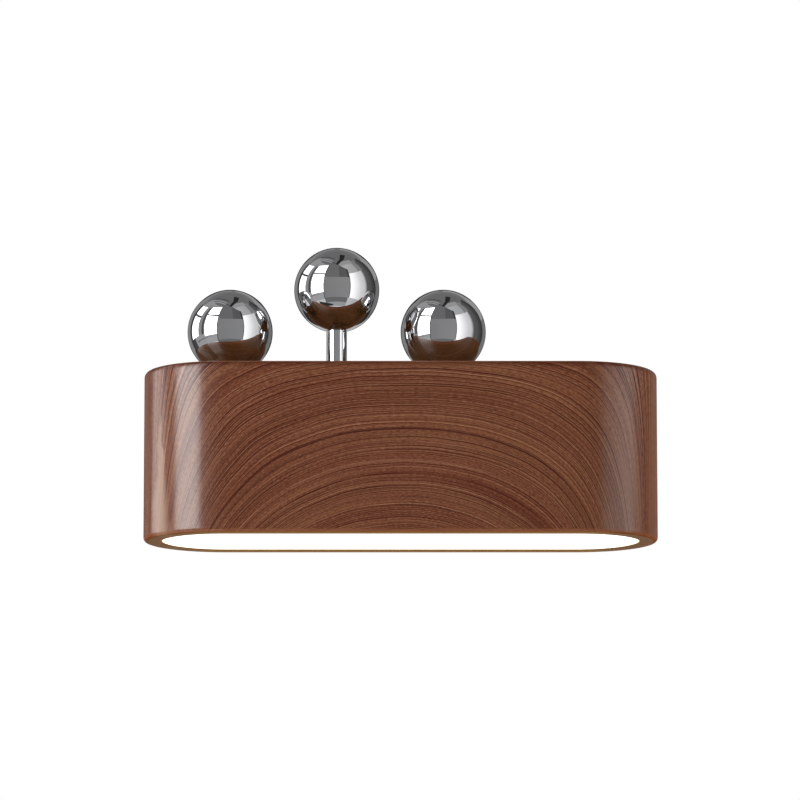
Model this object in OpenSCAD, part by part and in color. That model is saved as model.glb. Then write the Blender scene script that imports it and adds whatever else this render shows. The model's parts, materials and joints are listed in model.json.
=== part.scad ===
// Oblong wooden wall lamp that shines down through an opal diffuser.
// Three chrome balls stand on its top, and the one on the stem is the push switch.
// Millimetres. The wall is the plane y = 0, the lamp stands out along -Y, +X runs along the wall, +Z is up.
// The origin is the centre of the wall bracket on the wall plane.

/* [Body] */
// Length of the wooden body along the wall
body_l = 300; // [275:5:360]
// Depth of the wooden body from the wall to its front
body_d = 95; // [92:1:110]
// Height of the wooden body
body_h = 100; // [97:1:130]
// Thickness of the wooden side wall
wall_t = 10.5; // [9:0.5:11.5]
// Thickness of the wooden top
top_t = 11; // [9:0.5:13]
// Rounding of the top outer edge
top_edge_r = 3.5; // [1:0.5:6]
// Rounding of the bottom outer edge
bottom_edge_r = 2.5; // [1:0.5:5]
// Height of the wall bracket's centre above the bottom rim
bracket_up = 60; // [56:1:66]

/* [Balls] */
// Diameter of each ball
ball_d = 50; // [42:1:56]
// Wall of each hollow ball
ball_wall = 1.2; // [0.8:0.1:2]
// Distance between the axes of neighbouring balls
ball_pitch = 62.5; // [58:0.5:68]
// Distance from the left end of the body to the first ball's axis
first_ball_in = 50; // [44:1:54]
// Thread diameter of the studs in the balls
stud_d = 6; // [5:0.5:6.5]

/* [Push switch] */
// Diameter of the stem and of the flat under each ball
stem_d = 12; // [11:0.5:14]
// Length of stem that shows between the body and its ball
stem_up = 25; // [15:1:40]
// Travel of the push switch
press_travel = 5; // [3:0.5:6]
// Length of the return spring at rest
spring_l = 16; // [14:0.5:18]
// Number of turns of the return spring
spring_turns = 6; // [4:1:7]

/* [Light] */
// How far the diffuser sits up inside the rim
diffuser_recess = 0.6; // [0:0.1:3]
// Thickness of the diffuser's face
diffuser_t = 3; // [2:0.5:5]
// Height of the diffuser with its skirt
skirt_h = 14; // [12:1:20]
// Thickness of the diffuser's skirt
skirt_t = 1.8; // [1.2:0.1:2.4]
// Height of the reflector pan's top above the bottom rim
pan_up = 34; // [28:1:36]
// Sheet thickness of the reflector pan
pan_t = 1; // [0.8:0.1:1.5]
// Number of LED columns in each of the three rows
led_cols = 12; // [8:1:14]

/* [Wall fixing] */
// Distance between the two wall slots
slot_pitch = 80; // [70:1:84]
// Width of each wall slot
slot_w = 5; // [4:0.5:6]
// Length of each wall slot
slot_l = 16; // [12:1:20]
// Sheet thickness of the bracket, the back plate and the switch strap
sheet_t = 1.5; // [1:0.1:2]
// Room between the bracket and the back plate for screw heads
head_room = 3; // [2.8:0.1:3.4]
// Bore of the cable grommet
cable_d = 8; // [6:0.5:9]

/* [Fits] */
// Gap all round between parts that drop into one another
fit_gap = 0.3; // [0.15:0.05:0.4]
// Radial clearance of the sliding stem, the studs and the screws
run_gap = 0.05; // [0.03:0.01:0.09]

/* [Part] */
// Piece to draw, or all of them

/* [Hidden] */
$fn = 96;
eps = 0.5;

zb = -bracket_up;
zt = zb + body_h;
zc = zt - top_t;
yc = -body_d / 2;
cav_l = body_l - 2 * wall_t;
cav_d = body_d - 2 * wall_t;

x_left = first_ball_in - body_l / 2;
x_switch = x_left + ball_pitch;
x_right = x_switch + ball_pitch;
ball_r = ball_d / 2;
ball_rise = sqrt(ball_r * ball_r - stem_d * stem_d / 4);
ball_in_r = ball_r - ball_wall;
ball_floor_r = sqrt(pow(ball_in_r, 2) - pow(ball_rise - ball_wall, 2));
ball_nut_d = 2 * (ball_floor_r - fit_gap);
ball_nut_h = 7;
stud_hole_d = stud_d + 2 * run_gap;
stud_below = 9;
washer_t = 1.5;
nut_h = 5;
stud_nut_wall = 2;
stud_nut_af = stud_d + 2 * stud_nut_wall;

zd = zb + diffuser_recess;
dif_l = cav_l - 2 * fit_gap;
dif_d = cav_d - 2 * fit_gap;
snap_d = 3.6;
snap_below_rim = 4;
diffuser_edge_r = 0.6;
snap_x = body_l / 4;
snap_up = skirt_h - snap_below_rim;
snap_h = fit_gap + pan_t - run_gap;

pan_l = dif_l - 2 * skirt_t - 2 * fit_gap;
pan_d = dif_d - 2 * skirt_t - 2 * fit_gap;
pan_r = 3;
zp = zb + pan_up;
pan_z0 = zd + diffuser_t + fit_gap;

post_from_end = 20;
post_x = pan_l / 2 - post_from_end;
post_af = 7;
post_screw_d = 4;
post_in = 8;
pilot_spare = 0.5;
post_bore = 10;
post_bore_spare = 2;

board_t = 1.6;
board_from_post = 8;
board_l = 2 * (post_x - board_from_post);
board_beside = 14.6;
board_d = pan_d - 2 * board_beside;
zboard = zp - pan_t - board_t;
led_end = 16;
led_pitch = (board_l - 2 * led_end) / (led_cols - 1);
led_row = 0.35 * board_d;
post_in_y = 5;
post_y = board_d / 2 - post_in_y;
led_size = [3.5, 2.8, 0.8];
m3 = 3;
m3_head_d = 5.5;
m3_head_h = 2;
m4 = 4;
m4_head_d = 7.5;
m4_head_h = 2.4;
screw_tip = 1.5;
m3_nut_af = 5.5;
board_screw_x = led_pitch * (led_cols - 2) / 2;
plug_size = [8, 8, 4];
plug_from_end = 2;
plug_x = board_l / 2 - plug_size.x - plug_from_end;
plug_wire_y = 2;
plug_clear = 0.3;
plug_wire_in = 3;

led_wire_d = 1.6;
plug_hole_d = led_wire_d + 2 * plug_clear;
led_wire_y = 1.3;
led_pull = 8;
wire_d = 2.4;
wire_clear = 0.4;
wire_hole_d = wire_d + 2 * wire_clear;
pan_hole_d = 8;
pan_grommet_flange = 1.5;
pan_grommet_lip = 1.5;
pan_grommet_wall = 1.25;

driver_l = 84;
driver_base_h = 8;
driver_h = 22;
driver_from_post = 11;
driver_x = post_x - driver_from_post - driver_l;
driver_foot = 12;
driver_foot_t = 3;
driver_wall = 4;
driver_edge_r = 2;
strip_out = 4.5;
side_strip = board_d / 2 + strip_out;
driver_foot_out = 6.5;
driver_d = 2 * (side_strip - driver_foot_out);
driver_wire_up = 13;
driver_wire_y = 4;
wire_in = 4;
stub_x = [wire_in + 1, 0, 0];
stub_y = [0, wire_in + 1, 0];
live_pull = 24;
feed_pull = 14;
neutral_out = 0.65 * cav_d;
neutral_in = [65, 14, 0];
earth_pull = 9;

block_from_ball = 12;
block_x = x_left + block_from_ball;
block_y = yc + side_strip;
block_l = 40;
block_d = 16;
block_base = 7;
block_h = 12;
block_lug_t = 3;
block_lug_l = 6;
block_lug_w = 10;
pole_in = 1.5;
sleeve_back = 0.5;
clamp_down = 0.6;
clamp_slot = 1.2;
pole_pitch = 8.5;
pole_w = 7;
pole_up = 5;
clamp_y = 3.5;
sleeve_d = 5;
sleeve_in = wire_hole_d;
clamp_l = block_h - pole_up - sleeve_in / 2 - clamp_down;
lug_out = 38;
lug_x = block_x + lug_out;
lug_t = 0.8;
ring_d = 9;
barrel_l = 4;
barrel_t = 0.6;
ring_wire_up = wire_hole_d / 2 + barrel_t;
ring_wire_y = 8;

bush_cover = 3;
bush_top = zt - bush_cover;
stem_clear = 0.4;
bush_wall = 1.5;
bush_d = stem_d + 2 * bush_wall;
bush_below = 9;
nut_wall = 2;
bush_nut_af = bush_d + 2 * nut_wall;
bush_nut_h = 5;
bush_washer_t = 1.2;
bush_washer_lip = 1.5;
bush_end = zc - bush_below;
clip_out = 2.5;
clip_d = stem_d + 2 * clip_out;
clip_t = 1.2;
clip_top = bush_end - fit_gap;
groove_in = 1.2;
groove_d = stem_d - 2 * groove_in;
spring_top = clip_top - clip_t;
strap_top = spring_top - spring_l;
stem_spare = 1.5;
stem_end = strap_top + press_travel + stem_spare;
wire_spring = 1;
spring_clear = 0.4;
spring_mean = stem_d + 2 * spring_clear + wire_spring;
stem_bore = 12;

strap_w = 30;
strap_clear = 11;
strap_x = stem_d / 2 + strap_clear;
strap_foot = 13;
strap_r = 1.5;
strap_screw_d = 3;
strap_screw_in = 8;
switch_w = 16;
switch_h = 16;
switch_ear = 14;
switch_ear_t = 3;
switch_ear_w = 8;
switch_screw_d = 2.5;
switch_head_d = 4.5;
switch_head_h = 1.8;
switch_screw_y = 11;
plunger_d = 5;
plunger_in = 8;
plunger_clear = 0.5;
tab_size = [0.8, 4.8, 5];
tab_x = 4;

hang_out = 21;
hang_x = slot_pitch / 2 + hang_out;
hang_head_d = 8;
bracket_out = 9;
bracket_l = 2 * (hang_x + bracket_out);
bracket_h = 26;
bracket_hole_d = 20;
bracket_earth_x = 21;
plate_out = 11;
plate_l = bracket_l + 2 * plate_out;
plate_h = 46;
plate_r = 4;
rebate_deep = 2 * sheet_t + head_room;
window_l = bracket_l;
window_h = 30;
plate_screw_out = plate_out / 2;
plate_screw_x = window_l / 2 + plate_screw_out;
plate_screw_z = 16;
plate_nut_h = 2.4;
key_drop = 9;
key_clear = 0.5;
key_d = hang_head_d + 2 * key_clear;
grommet_wall = 3;
grommet_lip = 2;
grommet_out_t = 1.5;
grommet_in_t = 2;
grommet_seat_d = cable_d + 2 * grommet_wall;
grommet_flange_d = grommet_seat_d + 2 * grommet_lip;

wood_body();
diffuser();
reflector_pan();
led_board();
led_chips();
led_plug();
led_board_screws();
pan_posts();
pan_screws();
driver_case();
driver_cover();
driver_screws();
terminal_block();
terminal_sleeves();
terminal_screws();
block_screws();
left_ball();
right_ball();
ball_nuts();
ball_studs();
ball_washers();
ball_lock_nuts();
switch_ball();
switch_ball_nut();
switch_ball_stud();
switch_stem();
stem_clip();
return_spring();
guide_bush();
bush_washer();
bush_nut();
switch_strap();
strap_screws();
push_switch();
switch_screws();
switch_plunger();
switch_tabs();
back_plate();
back_plate_screws();
back_plate_nuts();
cable_grommet();
wall_bracket();
hanging_screws();
bracket_earth_screw();
pan_grommet();
earth_screw();
earth_ring();
live_wires();
neutral_wire();
earth_wire();
led_wires();

// What a rounding of radius r takes off an outer corner, turned to quadrant q
module corner_cut(r, q) {
  rotate(90 * q)
  difference() {
    square([r + 1, r + 1]);
    circle(r);
  }
}

// Cross-section w wide and h high, with its top edges rounded by rt and its bottom edges by rb
module edge_section(w, h, rt, rb) {
  difference() {
    translate([-w / 2, 0]) square([w, h]);
    if (rt > 0) translate([w / 2 - rt, h - rt]) corner_cut(rt, 0);
    if (rt > 0) translate([rt - w / 2, h - rt]) corner_cut(rt, 1);
    if (rb > 0) translate([rb - w / 2, rb]) corner_cut(rb, 2);
    if (rb > 0) translate([w / 2 - rb, rb]) corner_cut(rb, 3);
  }
}

// Oblong block with half-round ends, l long and d deep, its outer edges rounded
module oblong(l, d, h, rt, rb) {
  rotate([90, 0, 90]) translate([0, 0, (d - l) / 2]) linear_extrude(l - d) edge_section(d, h, rt, rb);
  for (s = [-1, 1])
    translate([s * (l - d) / 2, 0, 0])
    rotate([0, 0, -90 * s])
    rotate_extrude(angle = 180)
    intersection() {
      edge_section(d, h, rt, rb);
      translate([0, -1]) square([d, h + 2]);
    }
}

// Rectangle in the wall plane, centred, with rounded corners
module round_rect(l, h, r) {
  difference() {
    square([l, h], center = true);
    translate([l / 2 - r, h / 2 - r]) corner_cut(r, 0);
    translate([r - l / 2, h / 2 - r]) corner_cut(r, 1);
    translate([r - l / 2, r - h / 2]) corner_cut(r, 2);
    translate([l / 2 - r, r - h / 2]) corner_cut(r, 3);
  }
}

// Stands a flat outline up behind the wall plane, from depth y0 to depth y1
module stand_up(y0, y1) {
  translate([0, -y0, 0]) rotate([90, 0, 0]) linear_extrude(y1 - y0) children();
}

// Round bar along Y, from depth y0 to depth y1
module bar_y(dia, y0, y1) {
  translate([0, -y0, 0]) rotate([90, 0, 0]) cylinder(d = dia, h = y1 - y0);
}

// Hexagonal bar along Z, af across its flats
module hex(af, h) {
  cylinder(d = af / cos(30), h = h, $fn = 6);
}

// Ring along Z
module ring(outer, inner, h) {
  difference() {
    cylinder(d = outer, h = h);
    translate([0, 0, -1]) cylinder(d = inner, h = h + 2);
  }
}

// Screw with a cross in its round head: the head hangs below z = 0 and the shank rises from it
module screw_up(shank_d, shank_l, head_d, head_h) {
  difference() {
    union() {
      translate([0, 0, -head_h]) cylinder(d = head_d, h = head_h);
      cylinder(d = shank_d, h = shank_l);
    }
    for (a = [0, 90])
      rotate(a) translate([-head_d / 3, -head_d / 16, -head_h - 1])
        cube([head_d / 1.5, head_d / 8, head_h / 2 + 1]);
  }
}

// Places children at the four pan posts
module at_posts() {
  for (sx = [-1, 1])
    for (sy = [-1, 1])
      translate([sx * post_x, yc + sy * post_y, zp]) children();
}

// Places children at the four screws of the LED board
module at_board_screws() {
  for (sx = [-1, 1])
    for (sy = [-1, 1])
      translate([sx * board_screw_x, yc + sy * led_row / 2, zboard]) children();
}

// Places children at the two driver feet, on the pan
module at_driver_feet() {
  for (sy = [-1, 1])
    translate([driver_x + driver_l / 2, yc + sy * side_strip, zp]) children();
}

// Places children at the two lugs of the terminal block, on the pan
module at_block_lugs() {
  for (sx = [-1, 1])
    translate([block_x + sx * (block_l - block_lug_l) / 2, block_y, zp]) children();
}

// Places children at the three poles of the terminal block
module at_poles() {
  for (i = [-1, 0, 1])
    translate([block_x + i * pole_pitch, block_y, zp]) children();
}

// Places children on the axes of the two fixed balls, at the body's top
module at_fixed_balls() {
  for (x = [x_left, x_right])
    translate([x, yc, zt]) children();
}

// Places children at the four screws of the back plate, on the wall plane
module at_plate_screws() {
  for (sx = [-1, 1])
    for (sz = [-1, 1])
      translate([sx * plate_screw_x, 0, sz * plate_screw_z]) children();
}

// Hollow ball standing on its flat, with the hole for its stud
module ball() {
  difference() {
    intersection() {
      translate([0, 0, ball_rise]) sphere(ball_r);
      translate([-ball_d, -ball_d, 0]) cube([2 * ball_d, 2 * ball_d, 2 * ball_d]);
    }
    intersection() {
      translate([0, 0, ball_rise]) sphere(ball_in_r);
      translate([-ball_d, -ball_d, ball_wall]) cube([2 * ball_d, 2 * ball_d, 2 * ball_d]);
    }
    translate([0, 0, -1]) cylinder(d = stud_hole_d, h = ball_wall + 2);
  }
}

// Threaded nut inside a ball
module ball_nut() {
  translate([0, 0, ball_wall]) ring(ball_nut_d, stud_hole_d, ball_nut_h);
}

function unit(v) = v / norm(v);
function curve_point(a, b, c, d, t) =
  pow(1 - t, 3) * a + 3 * t * pow(1 - t, 2) * b + 3 * t * t * (1 - t) * c + pow(t, 3) * d;
function curve(a, b, c, d, n) = [for (i = [0:n]) curve_point(a, b, c, d, i / n)];
function lead(a, stub_a, pull_a, d, stub_d, pull_d, n) =
  let (b = a + stub_a, c = d + stub_d)
  concat([a], curve(b, b + pull_a, c + pull_d, c, n), [d]);
function heading(p, i) = unit(p[min(i + 1, len(p) - 1)] - p[max(i - 1, 0)]);
function across(n, t) = unit(n - (n * t) * t);
function sides_of(p, n0, i = 0) =
  let (n = across(n0, heading(p, i)))
  i == len(p) - 1 ? [n] : concat([n], sides_of(p, n, i + 1));

// Round wire of diameter dia along the points p, k sides
module wire(p, dia, k = 8) {
  first = heading(p, 0);
  ns = sides_of(p, abs(first.z) < 0.8 ? [0, 0, 1] : [1, 0, 0]);
  m = len(p);
  points = [
    for (i = [0:m - 1])
      let (b = cross(heading(p, i), ns[i]))
      for (j = [0:k - 1])
        p[i] + dia / 2 * (cos(360 * j / k) * ns[i] + sin(360 * j / k) * b)
  ];
  walls = [
    for (i = [0:m - 2])
      for (j = [0:k - 1])
        let (j2 = (j + 1) % k)
        for (f = [
          [i * k + j, (i + 1) * k + j, i * k + j2],
          [i * k + j2, (i + 1) * k + j, (i + 1) * k + j2]
        ]) f
  ];
  near_cap = [for (j = [0:k - 1]) j];
  far_cap = [for (j = [0:k - 1]) (m - 1) * k + k - 1 - j];
  polyhedron(points, concat(walls, [near_cap, far_cap]));
}

// Wooden shell: open below, closed on top, with a rebate and a window in its back
module wood_body() {
  color([0.45, 0.28, 0.2])
  difference() {
    translate([0, yc, zb]) oblong(body_l, body_d, body_h, top_edge_r, bottom_edge_r);
    translate([0, yc, zb - 1]) oblong(cav_l, cav_d, body_h - top_t + 1, 0, 0);
    stand_up(-1, rebate_deep) round_rect(plate_l + 2 * fit_gap, plate_h + 2 * fit_gap, plate_r + fit_gap);
    stand_up(-1, wall_t + 1) round_rect(window_l, window_h, plate_r);
    at_plate_screws() bar_y(m3 + 2 * run_gap, 0, wall_t + 1);
    at_fixed_balls() translate([0, 0, -top_t - 1]) cylinder(d = stud_d + 2 * fit_gap, h = top_t + 2);
    translate([x_switch, yc, zc - 1]) cylinder(d = bush_d + 2 * run_gap, h = bush_top - zc + 1);
    translate([x_switch, yc, zc]) cylinder(d = stem_d + 2 * stem_clear, h = top_t + 1);
    at_posts() translate([0, 0, zc - zp - 1])
      cylinder(d = post_screw_d + 2 * run_gap, h = post_in + pilot_spare + 1);
    at_strap_feet() translate([0, 0, -1])
      cylinder(d = strap_screw_d + 2 * run_gap, h = strap_screw_in + pilot_spare + 1);
  }
}

// Opal cover in the open bottom: a face with a skirt, held by four small pips
module diffuser() {
  color([0.97, 0.97, 0.93])
  union() {
    difference() {
      translate([0, yc, zd]) oblong(dif_l, dif_d, skirt_h, 0, diffuser_edge_r);
      translate([0, yc, zd + diffuser_t]) oblong(dif_l - 2 * skirt_t, dif_d - 2 * skirt_t, skirt_h, 0, 0);
    }
    for (sx = [-1, 1])
      for (sy = [-1, 1])
        translate([sx * snap_x, yc, zd + snap_up])
        rotate([-90 * sy, 0, 0])
        translate([0, 0, dif_d / 2 - skirt_t - snap_h])
        cylinder(d = snap_d, h = snap_h + skirt_t / 2);
  }
}

// White sheet pan, open below, that carries the light and the gear
module reflector_pan() {
  color([0.93, 0.93, 0.92])
  difference() {
    translate([0, yc, pan_z0]) oblong(pan_l, pan_d, zp - pan_z0, pan_r, 0);
    translate([0, yc, pan_z0 - 1])
      oblong(pan_l - 2 * pan_t, pan_d - 2 * pan_t, zp - pan_z0 - pan_t + 1, pan_r - pan_t, 0);
    for (x = [-snap_x, snap_x])
      translate([x, 0, zd + snap_up]) bar_y(snap_d + 2 * fit_gap, 0, body_d);
    at_posts() translate([0, 0, -pan_t - 1]) cylinder(d = post_screw_d + 2 * run_gap, h = pan_t + 2);
    at_board_screws() cylinder(d = m3 + 2 * run_gap, h = board_t + pan_t + 1);
    at_driver_feet() translate([0, 0, -pan_t - 1]) cylinder(d = m3 + 2 * run_gap, h = pan_t + 2);
    at_block_lugs() translate([0, 0, -pan_t - 1]) cylinder(d = m3 + 2 * run_gap, h = pan_t + 2);
    translate([lug_x, block_y, zp - pan_t - 1]) cylinder(d = m4 + 2 * run_gap, h = pan_t + 2);
    translate([post_x, yc, zp - pan_t - 1]) cylinder(d = pan_hole_d + 2 * run_gap, h = pan_t + 2);
  }
}

// Aluminium board of the LEDs, flat against the pan
module led_board() {
  color([0.95, 0.95, 0.95])
  difference() {
    translate([0, yc, zboard]) oblong(board_l, board_d, board_t, 0, 0);
    at_board_screws() translate([0, 0, -1]) cylinder(d = m3 + 2 * run_gap, h = board_t + 2);
  }
}

// LEDs under the board, three rows
module led_chips() {
  color([0.95, 0.85, 0.35])
  for (i = [0:led_cols - 1])
    for (j = [-1, 0, 1])
      translate([(i - (led_cols - 1) / 2) * led_pitch, yc + j * led_row, zboard - led_size.z / 2])
      cube(led_size, center = true);
}

// Push-in wire connector at the board's right end
module led_plug() {
  color([0.9, 0.9, 0.88])
  difference() {
    translate([plug_x, yc - plug_size.y / 2, zboard - plug_size.z]) cube(plug_size);
    for (s = [-1, 1])
      translate([plug_x + plug_size.x - plug_wire_in - 1, yc + s * plug_wire_y, zboard - plug_size.z / 2])
      rotate([0, 90, 0])
      cylinder(d = plug_hole_d, h = plug_wire_in + 2);
  }
}

// Screws that hold the board to the pan
module led_board_screws() {
  color([0.75, 0.75, 0.77])
  at_board_screws() screw_up(m3, board_t + pan_t + screw_tip, m3_head_d, m3_head_h);
}

// Hexagonal posts that hang the pan from the wooden top
module pan_posts() {
  color([0.75, 0.75, 0.77])
  at_posts()
  difference() {
    union() {
      hex(post_af, zc - zp);
      cylinder(d = post_screw_d, h = zc - zp + post_in);
    }
    translate([0, 0, -1]) cylinder(d = post_screw_d + 2 * run_gap, h = post_bore + 1);
  }
}

// Screws that hold the pan to its posts
module pan_screws() {
  color([0.75, 0.75, 0.77])
  at_posts() translate([0, 0, -pan_t])
    screw_up(post_screw_d, pan_t + post_bore - post_bore_spare, m4_head_d, m4_head_h);
}

// Lower half of the LED driver, with two feet and a hollow under it
module driver_case() {
  color([0.86, 0.86, 0.85])
  difference() {
    union() {
      translate([driver_x, yc - driver_d / 2, zp]) cube([driver_l, driver_d, driver_base_h]);
      at_driver_feet()
        translate([-driver_foot / 2, -(side_strip - driver_d / 2) - eps, 0])
        cube([driver_foot, 2 * (side_strip - driver_d / 2) + 2 * eps, driver_foot_t]);
    }
    translate([driver_x + driver_wall, yc - driver_d / 2 + driver_wall, zp - 1])
      cube([driver_l - 2 * driver_wall, driver_d - 2 * driver_wall, driver_foot_t + 1]);
    at_driver_feet() translate([0, 0, -1]) cylinder(d = m3 + 2 * run_gap, h = driver_foot_t + 2);
  }
}

// Upper half of the LED driver, with two wire holes at each end
module driver_cover() {
  color([0.93, 0.93, 0.92])
  difference() {
    translate([driver_x, yc, zp + driver_base_h])
      rotate([90, 0, 90])
      linear_extrude(driver_l)
      edge_section(driver_d, driver_h - driver_base_h, driver_edge_r, 0);
    for (s = [-1, 1]) {
      translate([driver_x - 1, yc + s * driver_wire_y, zp + driver_wire_up])
        rotate([0, 90, 0])
        cylinder(d = wire_hole_d, h = wire_in + 2);
      translate([driver_x + driver_l - wire_in - 1, yc + s * driver_wire_y, zp + driver_wire_up])
        rotate([0, 90, 0])
        cylinder(d = wire_hole_d, h = wire_in + 2);
    }
  }
}

// Screws that hold the driver's feet to the pan
module driver_screws() {
  color([0.75, 0.75, 0.77])
  at_driver_feet()
    translate([0, 0, driver_foot_t])
    rotate([180, 0, 0])
    screw_up(m3, driver_foot_t + pan_t + screw_tip, m3_head_d, m3_head_h);
}

// Three-pole terminal block on the pan, near the back
module terminal_block() {
  color([0.9, 0.89, 0.85])
  difference() {
    union() {
      translate([block_x - block_l / 2 + block_lug_l, block_y - block_d / 2, zp])
        cube([block_l - 2 * block_lug_l, block_d, block_base]);
      translate([block_x - block_l / 2, block_y - block_lug_w / 2, zp])
        cube([block_l, block_lug_w, block_lug_t]);
      at_poles() translate([-pole_w / 2, pole_in - block_d / 2, 0])
        cube([pole_w, block_d - 2 * pole_in, block_h]);
    }
    at_poles() {
      translate([0, -block_d / 2 - 1, pole_up]) rotate([-90, 0, 0])
        cylinder(d = sleeve_d + 2 * run_gap, h = block_d + 2);
      for (s = [-1, 1])
        translate([0, s * clamp_y, pole_up]) cylinder(d = m4 + 2 * run_gap, h = block_h);
    }
    at_block_lugs() translate([0, 0, -1]) cylinder(d = m3 + 2 * run_gap, h = block_base + 2);
  }
}

// Brass sleeves of the terminal block
module terminal_sleeves() {
  color([0.8, 0.65, 0.3])
  at_poles()
    translate([0, sleeve_back - block_d / 2, pole_up])
    rotate([-90, 0, 0])
    difference() {
      ring(sleeve_d, sleeve_in, block_d - 2 * sleeve_back);
      for (s = [-1, 1])
        translate([0, 0, block_d / 2 - sleeve_back + s * clamp_y]) rotate([90, 0, 0])
          cylinder(d = m4 + 2 * run_gap, h = sleeve_d);
    }
}

// Slotted clamping screws of the terminal block
module terminal_screws() {
  color([0.75, 0.75, 0.77])
  at_poles()
    for (s = [-1, 1])
      translate([0, s * clamp_y, pole_up + sleeve_in / 2])
      difference() {
        cylinder(d = m4, h = clamp_l);
        translate([-m4, -m4 / 8, clamp_l - clamp_slot]) cube([2 * m4, m4 / 4, clamp_slot + 1]);
      }
}

// Screws that hold the terminal block to the pan
module block_screws() {
  color([0.75, 0.75, 0.77])
  at_block_lugs()
    translate([0, 0, block_lug_t])
    rotate([180, 0, 0])
    screw_up(m3, block_lug_t + pan_t + screw_tip, m3_head_d, m3_head_h);
}

// Chrome ball at the left
module left_ball() {
  color([0.8, 0.8, 0.82])
  translate([x_left, yc, zt]) ball();
}

// Chrome ball at the right
module right_ball() {
  color([0.8, 0.8, 0.82])
  translate([x_right, yc, zt]) ball();
}

// Nuts inside the two fixed balls
module ball_nuts() {
  color([0.75, 0.75, 0.77])
  at_fixed_balls() ball_nut();
}

// Studs that hold the two fixed balls through the wooden top
module ball_studs() {
  color([0.75, 0.75, 0.77])
  at_fixed_balls()
    translate([0, 0, -top_t - stud_below])
    cylinder(d = stud_d, h = stud_below + top_t + ball_wall + ball_nut_h);
}

// Washers under the wooden top
module ball_washers() {
  color([0.75, 0.75, 0.77])
  at_fixed_balls()
    translate([0, 0, -top_t - washer_t])
    ring(3 * stud_d, stud_hole_d, washer_t);
}

// Nuts that draw the two fixed balls down
module ball_lock_nuts() {
  color([0.75, 0.75, 0.77])
  at_fixed_balls()
    translate([0, 0, -top_t - washer_t - nut_h])
    difference() {
      hex(stud_nut_af, nut_h);
      translate([0, 0, -1]) cylinder(d = stud_hole_d, h = nut_h + 2);
    }
}

// Chrome ball that is pressed to switch the lamp
module switch_ball() {
  color([0.8, 0.8, 0.82])
  translate([x_switch, yc, zt + stem_up]) ball();
}

// Nut inside the switch ball
module switch_ball_nut() {
  color([0.75, 0.75, 0.77])
  translate([x_switch, yc, zt + stem_up]) ball_nut();
}

// Stud between the stem and the switch ball
module switch_ball_stud() {
  color([0.75, 0.75, 0.77])
  translate([x_switch, yc, zt + stem_up - stem_bore])
    cylinder(d = stud_d, h = stem_bore + ball_wall + ball_nut_h);
}

// Chrome stem that slides in the bush
module switch_stem() {
  color([0.8, 0.8, 0.82])
  translate([x_switch, yc, 0])
  difference() {
    translate([0, 0, stem_end]) cylinder(d = stem_d, h = zt + stem_up - stem_end);
    translate([0, 0, zt + stem_up - stem_bore]) cylinder(d = stud_hole_d, h = stem_bore + 1);
    translate([0, 0, spring_top - run_gap]) ring(stem_d + 2, groove_d, clip_t + 2 * run_gap);
  }
}

// Retaining clip in the stem's groove: the stop below the bush and the seat of the spring
module stem_clip() {
  color([0.6, 0.6, 0.62])
  translate([x_switch, yc, spring_top])
  difference() {
    ring(clip_d, groove_d + 2 * run_gap, clip_t);
    translate([-groove_d / 3, 0, -1]) cube([groove_d / 1.5, clip_d, clip_t + 2]);
  }
}

// Spring that lifts the stem
module return_spring() {
  turn = 12;
  rise = spring_l - wire_spring - 2 * run_gap;
  path = [
    for (i = [0:spring_turns * turn])
      [
        spring_mean / 2 * cos(360 * i / turn),
        spring_mean / 2 * sin(360 * i / turn),
        wire_spring / 2 + run_gap + rise * i / (spring_turns * turn)
      ]
  ];
  color([0.7, 0.7, 0.72])
  translate([x_switch, yc, strap_top]) wire(path, wire_spring, 6);
}

// Brass bush that guides the stem, screwed into the wooden top from below up to a shoulder
module guide_bush() {
  color([0.8, 0.65, 0.36])
  translate([x_switch, yc, bush_end])
    ring(bush_d, stem_d + 2 * run_gap, bush_top - bush_end);
}

// Washer of the bush under the wooden top
module bush_washer() {
  color([0.75, 0.75, 0.77])
  translate([x_switch, yc, zc - bush_washer_t])
    ring(bush_nut_af + 2 * bush_washer_lip, bush_d + 2 * run_gap, bush_washer_t);
}

// Lock nut of the bush
module bush_nut() {
  color([0.75, 0.75, 0.77])
  translate([x_switch, yc, zc - bush_washer_t - bush_nut_h])
  difference() {
    hex(bush_nut_af, bush_nut_h);
    translate([0, 0, -1]) cylinder(d = bush_d + 2 * run_gap, h = bush_nut_h + 2);
  }
}

// Places children at the two feet of the switch strap, under the wooden top
module at_strap_feet() {
  for (s = [-1, 1])
    translate([x_switch + s * (strap_x + strap_foot / 2), yc, zc]) children();
}

// Half of the strap's bent outline: floor, leg and foot, with rounded bends
module strap_half() {
  leg = zc - strap_top + sheet_t;
  bend_r = sheet_t + strap_r;
  low = leg - bend_r;
  difference() {
    translate([-1, 0]) square([strap_x + 1, low]);
    translate([strap_x - bend_r, bend_r]) corner_cut(bend_r, 3);
    difference() {
      translate([-2, sheet_t]) square([strap_x - sheet_t + 2, low]);
      translate([strap_x - bend_r, bend_r]) corner_cut(strap_r, 3);
    }
  }
  difference() {
    translate([strap_x - sheet_t, low - 1]) square([strap_foot + sheet_t, bend_r + 1]);
    translate([strap_x + strap_r, low]) corner_cut(bend_r, 1);
    difference() {
      translate([strap_x, low - 2]) square([strap_foot + 1, strap_r + 2]);
      translate([strap_x + strap_r, low]) corner_cut(strap_r, 1);
    }
  }
}

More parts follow.
